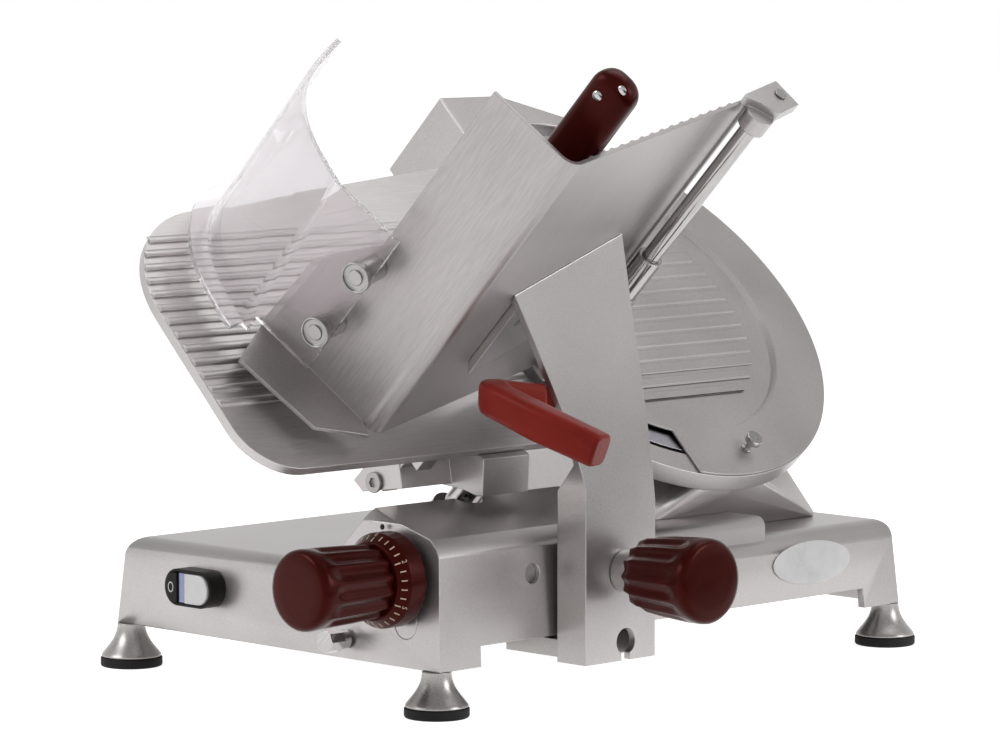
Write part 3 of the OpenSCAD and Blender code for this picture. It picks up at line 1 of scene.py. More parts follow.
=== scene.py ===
"""Looks of a gravity feed slicer: rounded castings, knobs, clear guard and finishes."""

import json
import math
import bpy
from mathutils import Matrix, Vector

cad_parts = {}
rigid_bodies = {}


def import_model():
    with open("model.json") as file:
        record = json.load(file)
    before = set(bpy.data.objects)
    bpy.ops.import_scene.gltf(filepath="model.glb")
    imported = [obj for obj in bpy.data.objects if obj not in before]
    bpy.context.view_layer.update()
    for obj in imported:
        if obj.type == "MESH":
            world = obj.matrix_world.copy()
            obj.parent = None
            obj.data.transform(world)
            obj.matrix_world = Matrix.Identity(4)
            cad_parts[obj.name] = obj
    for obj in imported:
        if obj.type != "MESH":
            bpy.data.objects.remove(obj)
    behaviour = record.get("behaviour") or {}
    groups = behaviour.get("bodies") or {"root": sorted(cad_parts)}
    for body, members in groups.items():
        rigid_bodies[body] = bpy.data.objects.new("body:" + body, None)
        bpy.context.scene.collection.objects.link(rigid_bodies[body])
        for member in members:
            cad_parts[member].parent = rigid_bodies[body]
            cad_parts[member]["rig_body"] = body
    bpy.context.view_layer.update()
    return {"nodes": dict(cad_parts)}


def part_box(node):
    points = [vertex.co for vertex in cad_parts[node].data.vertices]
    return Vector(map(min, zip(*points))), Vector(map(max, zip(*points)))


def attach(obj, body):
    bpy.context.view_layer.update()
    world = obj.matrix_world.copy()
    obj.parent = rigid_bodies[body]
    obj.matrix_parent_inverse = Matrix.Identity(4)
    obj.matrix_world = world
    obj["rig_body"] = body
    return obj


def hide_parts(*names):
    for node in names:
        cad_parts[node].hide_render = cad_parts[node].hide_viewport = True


bl_info = {
    "name": "Gravity feed slicer looks",
    "version": (1, 0, 0),
    "blender": (4, 5, 0),
    "location": "View3D > Sidebar > Slicer",
    "description": "Rounded castings, fluted knobs and metal finishes for a packed slicer",
    "category": "Object",
}

import bmesh
import bpy
from bpy.props import (
    FloatProperty,
    FloatVectorProperty,
    IntProperty,
    PointerProperty,
)
from mathutils import Matrix, Vector
from mathutils.bvhtree import BVHTree

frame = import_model()

# The middle of the feet from the middle of the row frame
FEET = Vector((-0.0775, 0.0525, 0.0))
HALF = math.sqrt(0.5)
# Frame of the leaning blade plane: x along the travel, y up the plane, z out of it
LEANING = Matrix(
    ((0, -HALF, HALF, FEET.x), (1, 0, 0, FEET.y), (0, HALF, HALF, 0), (0, 0, 0, 1))
)
# Points closer than this are one, and faces that turn by fewer degrees are one
MERGE = 2e-5
FLAT = 0.7
# Distance between the feet of a pair, and the pads' radius; forms stay a hair inside the solids
FEET_ACROSS = 0.325
PAD_RADIUS = 0.023
INSET = 0.0001
# Edges longer than this are rounded where small ones are left
LONG_EDGE = 0.012
# Sockets of a colour Mix node
MIX_FACTOR, MIX_LOW, MIX_HIGH, MIX_RESULT = 0, 6, 7, 2
# Middle of the blade, in the leaning frame
BLADE_CENTRE = Vector((0.0747, 0.1525, 0.221))
# Top of the pusher grip, along the leaning frame's z
GRIP_TOP = 0.5496
# Diameter of the dial's face, inside its slope, and the slope's share of the dial's depth
DIAL_NECK = 0.0547
DIAL_SLOPE = 0.36
# Dot on the housing's front, above the dial
INDEX_DOT = (0.1137, -0.2432, 0.1284)
# Lamps: name, place and diameter; and the place that they light
LAMPS = (
    ("key", (-1.0, -2.2, 1.9), 1.6), ("side", (2.2, 1.1, 1.2), 1.2), ("top", (0.2, 0.6, 2.2), 1.8))
LAMP_AIM = Vector((0, 0, 0.2))
FLOOR_GLOW = 0.86
# The camera's place, as fitted to the photograph, with its turn and its dip in degrees
CAMERA_PLACE = (2.374359, -2.400608, 0.536456)
CAMERA_TURN, CAMERA_DIP = 45.157, 5.362


def spot(x, y, z):
    """A place in the machine's own frame, from metres."""
    return FEET + Vector((x, y, z))


# ---- sizes and colours ----


def length(name, text, default, top=0.5):
    """A length that the panel shows in the scene's unit."""
    return FloatProperty(
        name=name, description=text, default=default, min=0.0, max=top,
        precision=4, unit="LENGTH", subtype="DISTANCE",
    )


def number(name, text, default, low, top):
    """A plain number."""
    return FloatProperty(name=name, description=text, default=default, min=low, max=top)


def power(name, text, default):
    """The power of a lamp."""
    return FloatProperty(name=name, description=text, default=default, min=0.0, unit="POWER")


def count(name, text, default, low, top):
    """A whole number."""
    return IntProperty(name=name, description=text, default=default, min=low, max=top)


def share(name, text, default):
    """A number from 0 to 1."""
    return FloatProperty(
        name=name, description=text, default=default, min=0.0, max=1.0, subtype="FACTOR"
    )


def colour(name, text, default):
    """A colour in linear light."""
    return FloatVectorProperty(
        name=name, description=text, default=default, min=0.0, max=1.0, size=3, subtype="COLOR",
    )


class SlicerSizes(bpy.types.PropertyGroup):
    """Sizes of what is modelled here."""

    corner_round: length("Corner rounding", "Radius of the base's upright corners", 0.007)
    cast_round: length("Casting rounding", "Radius of the gauge bracket's edges", 0.004)
    sheet_round: length("Sheet rounding", "Radius of the sheet pieces' edges", 0.0007)
    turned_round: length("Turned rounding", "Radius of the turned pieces' edges", 0.0006)
    flutes: count("Flutes", "Flutes round a knob", 14, 6, 24)
    flute_depth: length("Flute depth", "Depth of a knob's flutes", 0.0026)
    flute_length: share("Flute length", "Part of a knob's length that the flutes take", 0.86)
    dial_ticks: count("Ticks", "Ticks round the dial", 30, 10, 60)
    tick_width: length("Tick width", "Width of a tick", 0.0009)
    tick_length: length("Tick length", "Length of a tick", 0.0042)
    numeral_height: length("Numeral height", "Height of the dial's numerals", 0.0036)
    ring_diameter: length("Stop ring", "Diameter of the ring on the stop button", 0.0078)
    grip_width: length("Grip width", "Width of the pusher grip", 0.034)
    handle_width: length("Handle width", "Width of the carriage handle", 0.0222)
    handle_height: length("Handle height", "Height of the carriage handle", 0.0236)
    rib_reach: length("Rib reach", "Distance of the cover's rib ends from the blade's axis", 0.1075)
    rib_start: length("Rib start", "Place of the cover's first rib below the blade's axis", 0.09)
    rib_step: length("Rib step", "Distance between the cover's ribs", 0.013091)
    rib_spread: number("Rib spread", "Widening of the cover's ribs", 2.1, 1.0, 3.0)
    rib_lower: share("Rib height", "Height left to the cover's ribs", 0.72)
    dot_diameter: length("Index dot", "Diameter of the dot above the dial", 0.004)


class SlicerColours(bpy.types.PropertyGroup):
    """Colours of the finishes, in linear light."""

    cast: colour("Cast aluminium", "Ground and satined castings", (0.50, 0.475, 0.47))
    # Darker than the castings, partly the sheet's own tone and partly painted shade for the tray's
    # shaded table
    sheet: colour("Sheet aluminium", "Satined sheet of the tray", (0.43, 0.406, 0.40))
    cover: colour("Blade cover", "Pressed cover over the blade", (0.44, 0.416, 0.411))
    gauge: colour("Gauge plate", "Ribbed gauge plate", (0.56, 0.53, 0.528))
    bare: colour("Bare alloy", "Machined alloy pieces", (0.42, 0.40, 0.39))
    blade: colour("Blade", "Blade steel", (0.50, 0.485, 0.53))
    steel: colour("Steel", "Plain steel", (0.36, 0.35, 0.345))
    bright: colour("Bright steel", "Polished and plated steel", (0.43, 0.418, 0.414))
    brass: colour("Brass", "Bushings", (0.62, 0.42, 0.17))
    rubber: colour("Rubber", "Foot pads", (0.010, 0.009, 0.009))
    belt: colour("Belt", "Drive belt", (0.014, 0.013, 0.013))
    black: colour("Black plastic", "Bezel, stop button and gland", (0.014, 0.012, 0.0115))
    dark_red: colour("Dark red", "Knobs, dial and grip", (0.050, 0.0052, 0.0040))
    bright_red: colour("Bright red", "Carriage handle", (0.27, 0.026, 0.019))
    pale: colour("Pale button", "Start button", (0.96, 0.945, 0.94))
    lamp: colour("Lamp", "Pilot lamp strip", (0.36, 0.40, 0.68))
    plate: colour("Oval plate", "Bare oval plate", (0.90, 0.895, 0.90))
    motor: colour("Motor paint", "Motor body", (0.05, 0.055, 0.065))
    clear: colour("Clear sheet", "Tint of the thumb guard", (0.90, 0.855, 0.885))
    stone: colour("Stone", "Grinding stones", (0.26, 0.17, 0.12))
    tick: colour("Ticks", "Ticks and numerals of the dial", (0.85, 0.62, 0.46))
    ring: colour("Stop ring", "Ring on the stop button", (0.85, 0.85, 0.84))


class SlicerStage(bpy.types.PropertyGroup):
    """Light and camera of the stage."""

    key: power("Key", "Key lamp", 26.0)
    side: power("Side", "Lamp on the right", 18.0)
    top: power("Top", "Lamp overhead", 13.0)
    room: number("Room", "Light from the room", 0.42, 0.0, 2.0)
    lens: FloatProperty(
        name="Lens", description="Focal length", default=167.656, min=20.0, max=400.0,
        unit="CAMERA",
    )


# ---- finishes ----


def add(tree, kind, inputs=(), **settings):
    """A new node with its settings, and its inputs set or linked."""
    made = tree.nodes.new("ShaderNode" + kind)
    for key, value in settings.items():
        setattr(made, key, value)
    for key, value in dict(inputs).items():
        if isinstance(value, bpy.types.NodeSocket):
            tree.links.new(value, made.inputs[key])
        else:
            made.inputs[key].default_value = value
    return made


def new_finish(name):
    """A material with one shader, and its tree."""
    material = bpy.data.materials.new("finish_" + name)
    material.use_nodes = True
    tree = material.node_tree
    tree.nodes.clear()
    out = add(tree, "OutputMaterial")
    shader = add(tree, "BsdfPrincipled")
    tree.links.new(shader.outputs[0], out.inputs["Surface"])
    return material, tree, shader


def surface_place(tree, centre=(0, 0, 0), turn=(0, 0, 0), stretch=(1, 1, 1)):
    """Object coordinates centred, turned back, then stretched."""
    coords = add(tree, "TexCoord").outputs["Object"]
    return add(
        tree, "Mapping",
        {"Vector": coords, "Location": centre, "Rotation": turn, "Scale": stretch},
        vector_type="TEXTURE",
    ).outputs["Vector"]


def speckle(tree, place, scale, detail=3.0, rough=0.55):
    """Noise of features 1/scale metres wide."""
    return add(
        tree, "TexNoise",
        {"Vector": place, "Scale": scale, "Detail": detail, "Roughness": rough},
    ).outputs["Fac"]


def spread(tree, value, low, high, from_low=0.3, from_high=0.7):
    """The value brought into another range."""
    ends = {"From Min": from_low, "From Max": from_high, "To Min": low, "To Max": high}
    return add(tree, "MapRange", {"Value": value, **ends}).outputs["Result"]


def shade(tree, factor, low, high, **settings):
    """A colour between two, each a colour or a socket, by a factor."""
    low, high = (end if isinstance(end, bpy.types.NodeSocket) else (*end, 1) for end in (low, high))
    inputs = {MIX_FACTOR: factor, MIX_LOW: low, MIX_HIGH: high}
    return add(tree, "Mix", inputs, data_type="RGBA", **settings).outputs[MIX_RESULT]


def summed(tree, one, two, operation="ADD", **settings):
    """Two numbers added, or put together by another operation."""
    return add(tree, "Math", {0: one, 1: two}, operation=operation, **settings).outputs[0]


def lighter(tint, by):
    """The colour, lighter or darker."""
    return tuple(min(1.0, part * by) for part in tint)


def soft_edge(tree, radius):
    """A normal that rounds the edges over a radius."""
    return add(tree, "Bevel", {"Radius": radius}, samples=6).outputs["Normal"]


def near_edge(tree, rounded):
    """How close a point is to a rounded edge, from 0 to 1: the mask of the edges painted lighter,
    partly as wear and partly as a painted edge highlight.
    """
    plain = add(tree, "NewGeometry").outputs["Normal"]
    alike = add(tree, "VectorMath", {0: rounded, 1: plain}, operation="DOT_PRODUCT")
    return spread(tree, alike.outputs["Value"], 1.0, 0.0, 0.80, 0.995)


def skinned(tree, shader, height, rounded, strength, deep):
    """Gives the shader a bump from a height, on rounded edges."""
    inputs = {"Strength": strength, "Distance": deep, "Height": height}
    if rounded:
        inputs["Normal"] = rounded
    bump = add(tree, "Bump", inputs)
    tree.links.new(bump.outputs["Normal"], shader.inputs["Normal"])


def metal_finish(name, tint, metallic, rough, grain=900.0, depth=0.10, stretch=(1, 1, 1),
                 turn=(0, 0, 0), edge=0.0011, blotch=0.07):
    """Satin or brushed metal: soft blotches, fine grain, and edges painted brighter, partly as
    rubbed wear and partly as a painted edge highlight.
    """
    material, tree, shader = new_finish(name)
    cloud = speckle(tree, surface_place(tree), 9.0, 2.0)
    fine = speckle(tree, surface_place(tree, (0, 0, 0), turn, stretch), grain, 3.0, 0.65)
    rounded = soft_edge(tree, edge)
    darkest, lightest = lighter(tint, 1 - blotch), lighter(tint, 1 + blotch)
    base = shade(tree, spread(tree, cloud, 0, 1), darkest, lightest)
    streak = spread(tree, fine, -0.09, 0.09)
    rubbed = shade(tree, streak, base, (0.5, 0.5, 0.5), blend_type="ADD", clamp_factor=False)
    # Edges painted lighter: partly rubbed wear, partly a painted edge highlight
    edge_wear_and_highlight = shade(tree, near_edge(tree, rounded), rubbed, lighter(tint, 1.22))
    tree.links.new(edge_wear_and_highlight, shader.inputs["Base Color"])
    shader.inputs["Metallic"].default_value = metallic
    coarse = summed(
        tree, spread(tree, cloud, -0.03, 0.03), spread(tree, fine, rough - 0.05, rough + 0.05))
    tree.links.new(coarse, shader.inputs["Roughness"])
    skinned(tree, shader, fine, rounded, depth, 0.0003)
    return material


def blade_finish(name, tint):
    """Ground steel with rings round the blade's axis."""
    material, tree, shader = new_finish(name)
    place = surface_place(tree, LEANING @ BLADE_CENTRE, LEANING.to_euler())
    parts = add(tree, "SeparateXYZ", {"Vector": place})
    flat = add(tree, "CombineXYZ", {"X": parts.outputs["X"], "Y": parts.outputs["Y"]})
    radius = add(tree, "VectorMath", {0: flat.outputs[0]}, operation="LENGTH").outputs["Value"]
    along = add(tree, "CombineXYZ", {"X": radius}).outputs[0]
    rings = speckle(tree, along, 1600.0, 2.0, 0.7)
    cloud = speckle(tree, place, 14.0, 2.0)
    base = shade(tree, spread(tree, rings, 0, 1), lighter(tint, 0.86), lighter(tint, 1.12))
    tree.links.new(base, shader.inputs["Base Color"])
    shader.inputs["Metallic"].default_value = 1.0
    tree.links.new(spread(tree, cloud, 0.20, 0.32), shader.inputs["Roughness"])
    skinned(tree, shader, rings, soft_edge(tree, 0.0006), 0.12, 0.0002)
    return material


def moulded_finish(name, tint, rough, gloss, grain=520.0, depth=0.05, edge=0.0009, coat=0.0,
                   gleam=(1, 1, 1)):
    """Moulded plastic: faint flow marks, an even fine skin, softer edges painted lighter (partly
    wear, partly a painted edge highlight) and a tinted gleam.
    """
    material, tree, shader = new_finish(name)
    place = surface_place(tree)
    cloud = speckle(tree, place, 26.0, 3.0)
    skin = speckle(tree, place, grain, 2.0)
    rounded = soft_edge(tree, edge)
    base = shade(tree, spread(tree, cloud, 0, 1), lighter(tint, 0.88), lighter(tint, 1.12))
    # Edges painted lighter: partly wear, partly a painted edge highlight
    edge_wear_and_highlight = shade(tree, near_edge(tree, rounded), base, lighter(tint, 1.5))
    tree.links.new(edge_wear_and_highlight, shader.inputs["Base Color"])
    tree.links.new(spread(tree, cloud, rough - 0.04, rough + 0.04), shader.inputs["Roughness"])
    shader.inputs["Specular IOR Level"].default_value = gloss
    shader.inputs["Specular Tint"].default_value = (*gleam, 1)
    shader.inputs["Coat Weight"].default_value = coat
    shader.inputs["Coat Roughness"].default_value = 0.12
    skinned(tree, shader, skin, rounded, depth, 0.0003)
    return material


def rubber_finish(name, tint):
    """Black rubber, a little dusty."""
    material, tree, shader = new_finish(name)
    place = surface_place(tree)
    dust = speckle(tree, place, 60.0, 4.0)
    skin = speckle(tree, place, 1500.0, 2.0)
    base = shade(tree, spread(tree, dust, 0, 1, 0.45, 0.75), tint, lighter(tint, 2.6))
    tree.links.new(base, shader.inputs["Base Color"])
    tree.links.new(spread(tree, dust, 0.62, 0.82), shader.inputs["Roughness"])
    shader.inputs["Specular IOR Level"].default_value = 0.28
    skinned(tree, shader, skin, soft_edge(tree, 0.0009), 0.25, 0.0002)
    return material


def clear_finish(name, tint):
    """Clear sheet with a faint violet tint and fine wiping scratches."""
    material, tree, shader = new_finish(name)
    place = surface_place(tree, (0, 0, 0), LEANING.to_euler(), (0.2, 1.0, 1.0))
    wiped = speckle(tree, place, 260.0, 4.0, 0.7)
    cloud = speckle(tree, surface_place(tree), 12.0, 2.0)
    base = shade(tree, spread(tree, cloud, 0, 1), lighter(tint, 0.985), tint)
    tree.links.new(base, shader.inputs["Base Color"])
    tree.links.new(spread(tree, wiped, 0.02, 0.07), shader.inputs["Roughness"])
    shader.inputs["Transmission Weight"].default_value = 1.0
    shader.inputs["IOR"].default_value = 1.38
    shader.inputs["Alpha"].default_value = 0.80
    skinned(tree, shader, wiped, None, 0.02, 0.0002)
    return material


def make_finishes(tints):
    """Every finish by its name."""
    lean = LEANING.to_euler()
    along, up = (14, 1, 1), (1, 1, 14)
    metals = {
        "cast_satin": (tints.cast, 0.82, 0.34, dict(grain=950.0, depth=0.05)),
        "sheet_satin": (
            tints.sheet, 0.72, 0.36, dict(grain=700.0, stretch=up, turn=lean, edge=0.0008)),
        "cover_satin": (tints.cover, 0.72, 0.38, dict(depth=0.08)),
        "gauge_satin": (
            tints.gauge, 0.72, 0.36,
            dict(grain=800.0, depth=0.08, stretch=along, turn=lean, edge=0.0008)),
        "bare_alloy": (tints.bare, 0.85, 0.33, dict(grain=700.0, edge=0.0007)),
        "steel": (tints.steel, 0.95, 0.34, dict(edge=0.0005)),
        "bright_steel": (
            tints.bright, 1.0, 0.14,
            dict(grain=500.0, depth=0.02, stretch=(1, 1, 8), turn=lean, edge=0.0005, blotch=0.03)),
        "brass": (tints.brass, 1.0, 0.30, dict(grain=700.0, depth=0.06, edge=0.0005)),
    }
    moulded = {
        "black_plastic": (tints.black, 0.36, 0.13, {}),
        "red_plastic": (tints.dark_red, 0.24, 0.17, dict(gleam=(1.0, 0.26, 0.22))),
        "bright_red_plastic": (tints.bright_red, 0.30, 0.14, dict(gleam=(1.0, 0.34, 0.30))),
        "pale_button": (tints.pale, 0.30, 0.45, {}),
        "lamp_lens": (tints.lamp, 0.16, 0.5, dict(coat=0.3)),
        "white_plate": (tints.plate, 0.30, 0.4, dict(depth=0.02)),
        "motor_paint": (tints.motor, 0.45, 0.4, dict(grain=900.0, depth=0.15)),
        "dial_marks": (tints.tick, 0.45, 0.3, dict(edge=0.0002)),
        "stop_mark": (tints.ring, 0.40, 0.3, dict(edge=0.0002)),
    }
    rubbers = {"pad_rubber": tints.rubber, "belt_rubber": tints.belt, "stone_grit": tints.stone}
    made = {}
    for name, (tint, metallic, rough, more) in metals.items():
        made[name] = metal_finish(name, tint, metallic, rough, **more)
    for name, (tint, rough, gloss, more) in moulded.items():
        made[name] = moulded_finish(name, tint, rough, gloss, **more)
    for name, tint in rubbers.items():
        made[name] = rubber_finish(name, tint)
    made["blade_steel"] = blade_finish("blade_steel", tints.blade)
    made["clear_sheet"] = clear_finish("clear_sheet", tints.clear)
    return made


# CAD nodes by the finish that they are shown in
NODES_OF = {
    "cast_satin": (
        "base_casting", "drive_pedestal", "ring_guard", "sharpener_cover", "gauge_bracket",
        "carriage_arm", "rod_foot", "end_bracket",
    ),
    "sheet_satin": ("slice_deflector", "product_tray"),
    "cover_satin": ("blade_cover",),
    "gauge_satin": ("gauge_plate",),
    "bare_alloy": (
        "foot_cones", "sharpener_bracket", "gauge_bushing", "carriage_block", "carriage_bracket",
        "arm_ferrule", "pusher_arm", "guard_standoffs",
    ),
    "blade_steel": ("blade",),
    "steel": (
        "bottom_plate", "side_plug", "motor_pulley", "blade_bearings", "blade_hub", "blade_screws",
        "gauge_screw", "dial_shaft", "handle_screws", "tray_screws", "end_screw", "guard_screws",
    ),
    "bright_steel": (
        "cover_pin", "gauge_shaft", "small_knob", "guide_rail", "guide_bar", "pusher_rod",
        "pusher_sleeve", "grip_screws",
    ),
    "brass": ("dial_bushing",),
    "black_plastic": ("switch_bezel", "switch_block", "stop_button", "cable_gland"),
    "red_plastic": ("dial_disc", "dial_knob", "lock_knob", "pusher_grip"),
    "bright_red_plastic": ("carriage_handle",),
    "pale_button": ("start_button",),
    "lamp_lens": ("pilot_lamp",),
    "white_plate": ("blank_plate",),
    "motor_paint": ("motor",),
    "pad_rubber": ("foot_pads",),
    "belt_rubber": ("drive_belt",),
    "stone_grit": ("grinding_stone", "honing_stone"),
    "clear_sheet": ("thumb_guard",),
}
FINISH_OF = {node: name for name, nodes in NODES_OF.items() for node in nodes}
FINISHES = {}


def finish(name):
    """The finish of that name, made with the others on first use."""
    if not FINISHES:
        FINISHES.update(make_finishes(bpy.context.scene.slicer_colours))
    return FINISHES[name]


# ---- shapes ----

# Rounding of the CAD nodes' edges: radius or the size that holds it, least turn that is
# rounded, steps, and turn that stays sharp; then the nodes that have it
ROUNDINGS = {
    (0.0002, 170, 2, 12): ("blade",),
    (0.0004, 50, 2, 40): ("tray_screws", "end_screw"),
    (0.0004, 60, 2, 35): ("thumb_guard",),
    (0.0004, 60, 2, 40): ("blank_plate", "slice_deflector"),
    (0.0005, 50, 2, 40): (
        "stop_button", "start_button", "pilot_lamp", "grinding_stone", "honing_stone",
        "gauge_screw",
    ),
    (0.0006, 50, 2, 40): (
        "sharpener_bracket", "guide_rail", "guide_bar", "pusher_sleeve", "guard_standoffs",
        "guard_screws",
    ),
    (0.0007, 20, 2, 50): ("dial_disc",),
    (0.0008, 30, 2, 25): ("small_knob",),
    (0.0008, 50, 2, 40): ("switch_bezel", "pusher_arm"),
    (0.0008, 50, 3, 40): ("cover_pin",),
    (0.001, 50, 2, 40): ("carriage_block", "carriage_bracket", "arm_ferrule"),
    (0.0012, 35, 3, 40): ("sharpener_cover",),
    (0.0012, 40, 2, 40): ("end_bracket",),
    (0.0012, 50, 2, 40): ("ring_guard",),
    (0.0012, 60, 2, 50): ("drive_pedestal",),
    (0.0015, 50, 2, 40): ("rod_foot",),
    (0.002, 35, 3, 40): ("carriage_arm",),
    ("cast_round", 30, 4, 40): ("gauge_bracket",),
    ("sheet_round", 60, 2, 40): ("gauge_plate", "product_tray"),
    ("turned_round", 50, 2, 40): ("gauge_shaft", "pusher_rod"),
}
EDGES_OF = {node: edges for edges, nodes in ROUNDINGS.items() for node in nodes}


def merged_copy(node):
    """A copy of a CAD node's mesh with its loose triangles joined into faces."""
    bm = bmesh.new()
    bm.from_mesh(frame["nodes"][node].data)
    bmesh.ops.remove_doubles(bm, verts=bm.verts, dist=MERGE)
    bmesh.ops.dissolve_limit(
        bm, angle_limit=math.radians(FLAT), use_dissolve_boundaries=False,
        verts=bm.verts, edges=bm.edges, delimit=set(),
    )
    return bm


def corner_edges(bm, angle, keep=None):
    """Edges that turn by more than the angle, and that keep() wants."""
    bm.normal_update()
    return [
        e for e in bm.edges
        if len(e.link_faces) == 2
        and e.link_faces[0].normal.angle(e.link_faces[1].normal, 0.0) > math.radians(angle)
        and (keep is None or keep(e))
    ]


def round_edges(bm, edges, radius, segments):
    """Rounds those edges."""
    if edges:
        bmesh.ops.bevel(
            bm, geom=edges, offset=radius, offset_type="OFFSET", segments=segments,
            profile=0.5, affect="EDGES", clamp_overlap=True, material=-1,
        )


def piece(name, bm, body, finish_name, replaces=(), smooth=40.0):
    """Makes a bmesh a shown piece that rides on a body and stands for its CAD nodes."""
    mesh = bpy.data.meshes.new(name)
    bm.to_mesh(mesh)
    bm.free()
    mesh.shade_smooth()
    mesh.set_sharp_from_angle(angle=math.radians(smooth))
    mesh.materials.append(finish(finish_name))
    made = bpy.data.objects.new(name, mesh)
    bpy.context.scene.collection.objects.link(made)
    even = made.modifiers.new("Even faces", "WEIGHTED_NORMAL")
    even.keep_sharp = True
    even.weight = 60
    if replaces:
        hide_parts(*replaces)
    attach(made, body)
    return made


def body_of(node):
    return frame["nodes"][node]["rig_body"]


def softened(*nodes):
    """Each CAD node's form with its edges rounded."""
    for node in nodes:
        radius, angle, segments, smooth = EDGES_OF[node]
        if isinstance(radius, str):
            radius = getattr(bpy.context.scene.slicer_sizes, radius)
        bm = merged_copy(node)
        round_edges(bm, corner_edges(bm, angle), radius, segments)
        piece(node + "_form", bm, body_of(node), FINISH_OF[node], [node], smooth)


def kept(*nodes):
    """CAD nodes that are shown as they are, in their finishes."""
    for node in nodes:
        mesh = frame["nodes"][node].data
        mesh.materials.clear()
        mesh.materials.append(finish(FINISH_OF[node]))


def spun(bm, outline, steps):
    """Spins (radius, height) points round the local z axis into a closed form."""
    points = [bm.verts.new((r, 0, z)) for r, z in outline]
    lines = [bm.edges.new(pair) for pair in zip(points, points[1:])]
    bmesh.ops.spin(
        bm, geom=points + lines, cent=(0, 0, 0), axis=(0, 0, 1), angle=math.tau,
        steps=steps, use_merge=True, use_duplicate=False,
    )
    bmesh.ops.remove_doubles(bm, verts=bm.verts, dist=MERGE / 4)
    bmesh.ops.recalc_face_normals(bm, faces=bm.faces)


def added(bm, other, place):
    """Puts another form into this one, at a place."""
    bmesh.ops.transform(other, verts=other.verts, matrix=place)
    mesh = bpy.data.meshes.new("part")
    other.to_mesh(mesh)
    other.free()
    bm.from_mesh(mesh)
    bpy.data.meshes.remove(mesh)


def swept(bm, stations, power=4.6, segments=40):
    """A closed bar through sections: centre, direction, width and height of each."""
    loops = []
    for centre, along, wide, high in stations:
        side = along.cross(Vector((0, 0, 1))).normalized()
        up = side.cross(along).normalized()
        turned = Matrix((
            (side.x, up.x, along.x, centre.x), (side.y, up.y, along.y, centre.y),
            (side.z, up.z, along.z, centre.z), (0, 0, 0, 1),
        ))
        made = bmesh.ops.create_circle(bm, cap_ends=False, segments=segments, radius=1.0)["verts"]
        for v in made:
            turn = math.atan2(v.co.y, v.co.x)
            x, y = math.cos(turn), math.sin(turn)
            reach = (abs(x) ** power + abs(y) ** power) ** (-1 / power)
            v.co = Vector((x * reach * wide / 2, y * reach * high / 2, 0))
        bmesh.ops.transform(bm, verts=made, matrix=turned)
        inside = set(made)
        loops.append([e for e in bm.edges if e.verts[0] in inside and e.verts[1] in inside])
    for one, two in zip(loops, loops[1:]):
        bmesh.ops.bridge_loops(bm, edges=one + two)
    bmesh.ops.holes_fill(bm, edges=loops[0] + loops[-1], sides=0)
    bmesh.ops.recalc_face_normals(bm, faces=bm.faces)


def smooth_step(low, high, value):
    t = min(1.0, max(0.0, (value - low) / (high - low)))
    return t * t * (3 - 2 * t)


def knob_form(bm, diameter, long, shares, sizes):
    """A fluted knob along the local z axis, its flutes ending in scallops before the face."""
    rows, core, narrowing, scallop = 28, 0.3, 0.75, 0.16
    finer = []
    for (r0, z0), (r1, z1) in zip(shares, shares[1:]):
        cuts = max(1, round(abs(z1 - z0) * rows))
        finer += [(r0 + (r1 - r0) * k / cuts, z0 + (z1 - z0) * k / cuts) for k in range(cuts)]
    finer.append(shares[-1])
    outline = [(0, 0)] + [(r * diameter / 2, z * long) for r, z in finer] + [(0, long)]
    spun(bm, outline, sizes.flutes * 10)
    for v in bm.verts:
        radius = math.hypot(v.co.x, v.co.y)
        if radius < diameter * core:
            continue
        turn = sizes.flutes * math.atan2(v.co.y, v.co.x)
        groove = (0.5 + 0.5 * math.cos(turn)) ** narrowing
        fade = 1 - smooth_step(sizes.flute_length - scallop, sizes.flute_length, v.co.z / long)
        smaller = 1 - sizes.flute_depth * groove * fade / radius
        v.co.x *= smaller
        v.co.y *= smaller


def rod_form(bm, start, end, diameter, segments=48):
    """A closed round bar between two places."""
    line = end - start
    turned = line.to_track_quat("Z", "Y").to_matrix().to_4x4()
    place = Matrix.Translation((start + end) / 2) @ turned
    bmesh.ops.create_cone(
        bm, cap_ends=True, segments=segments, radius1=diameter / 2, radius2=diameter / 2,
        depth=line.length, matrix=place,
    )


# Shares of a knob's radius and length: its rounded face, then the two knobs up to it
KNOB_FACE = [(1, 0.75), (1, 0.90), (0.985, 0.95), (0.93, 0.983), (0.84, 0.996), (0.6, 1.0)]
KNOB_SHARES = [(0.86, 0.0), (0.905, 0.012), (0.93, 0.1), (0.97, 0.4), *KNOB_FACE]
LOCK_SHARES = [(0.56, 0.0), (0.68, 0.012), (0.80, 0.05), (0.89, 0.16), (0.95, 0.4), *KNOB_FACE]


# ---- one operator for each piece or group ----


class Plain:
    """A step that only rounds some CAD nodes and keeps others as they are."""

    rounded = ()
    as_is = ()

    def execute(self, context):
        softened(*self.rounded)
        kept(*self.as_is)
        return {"FINISHED"}


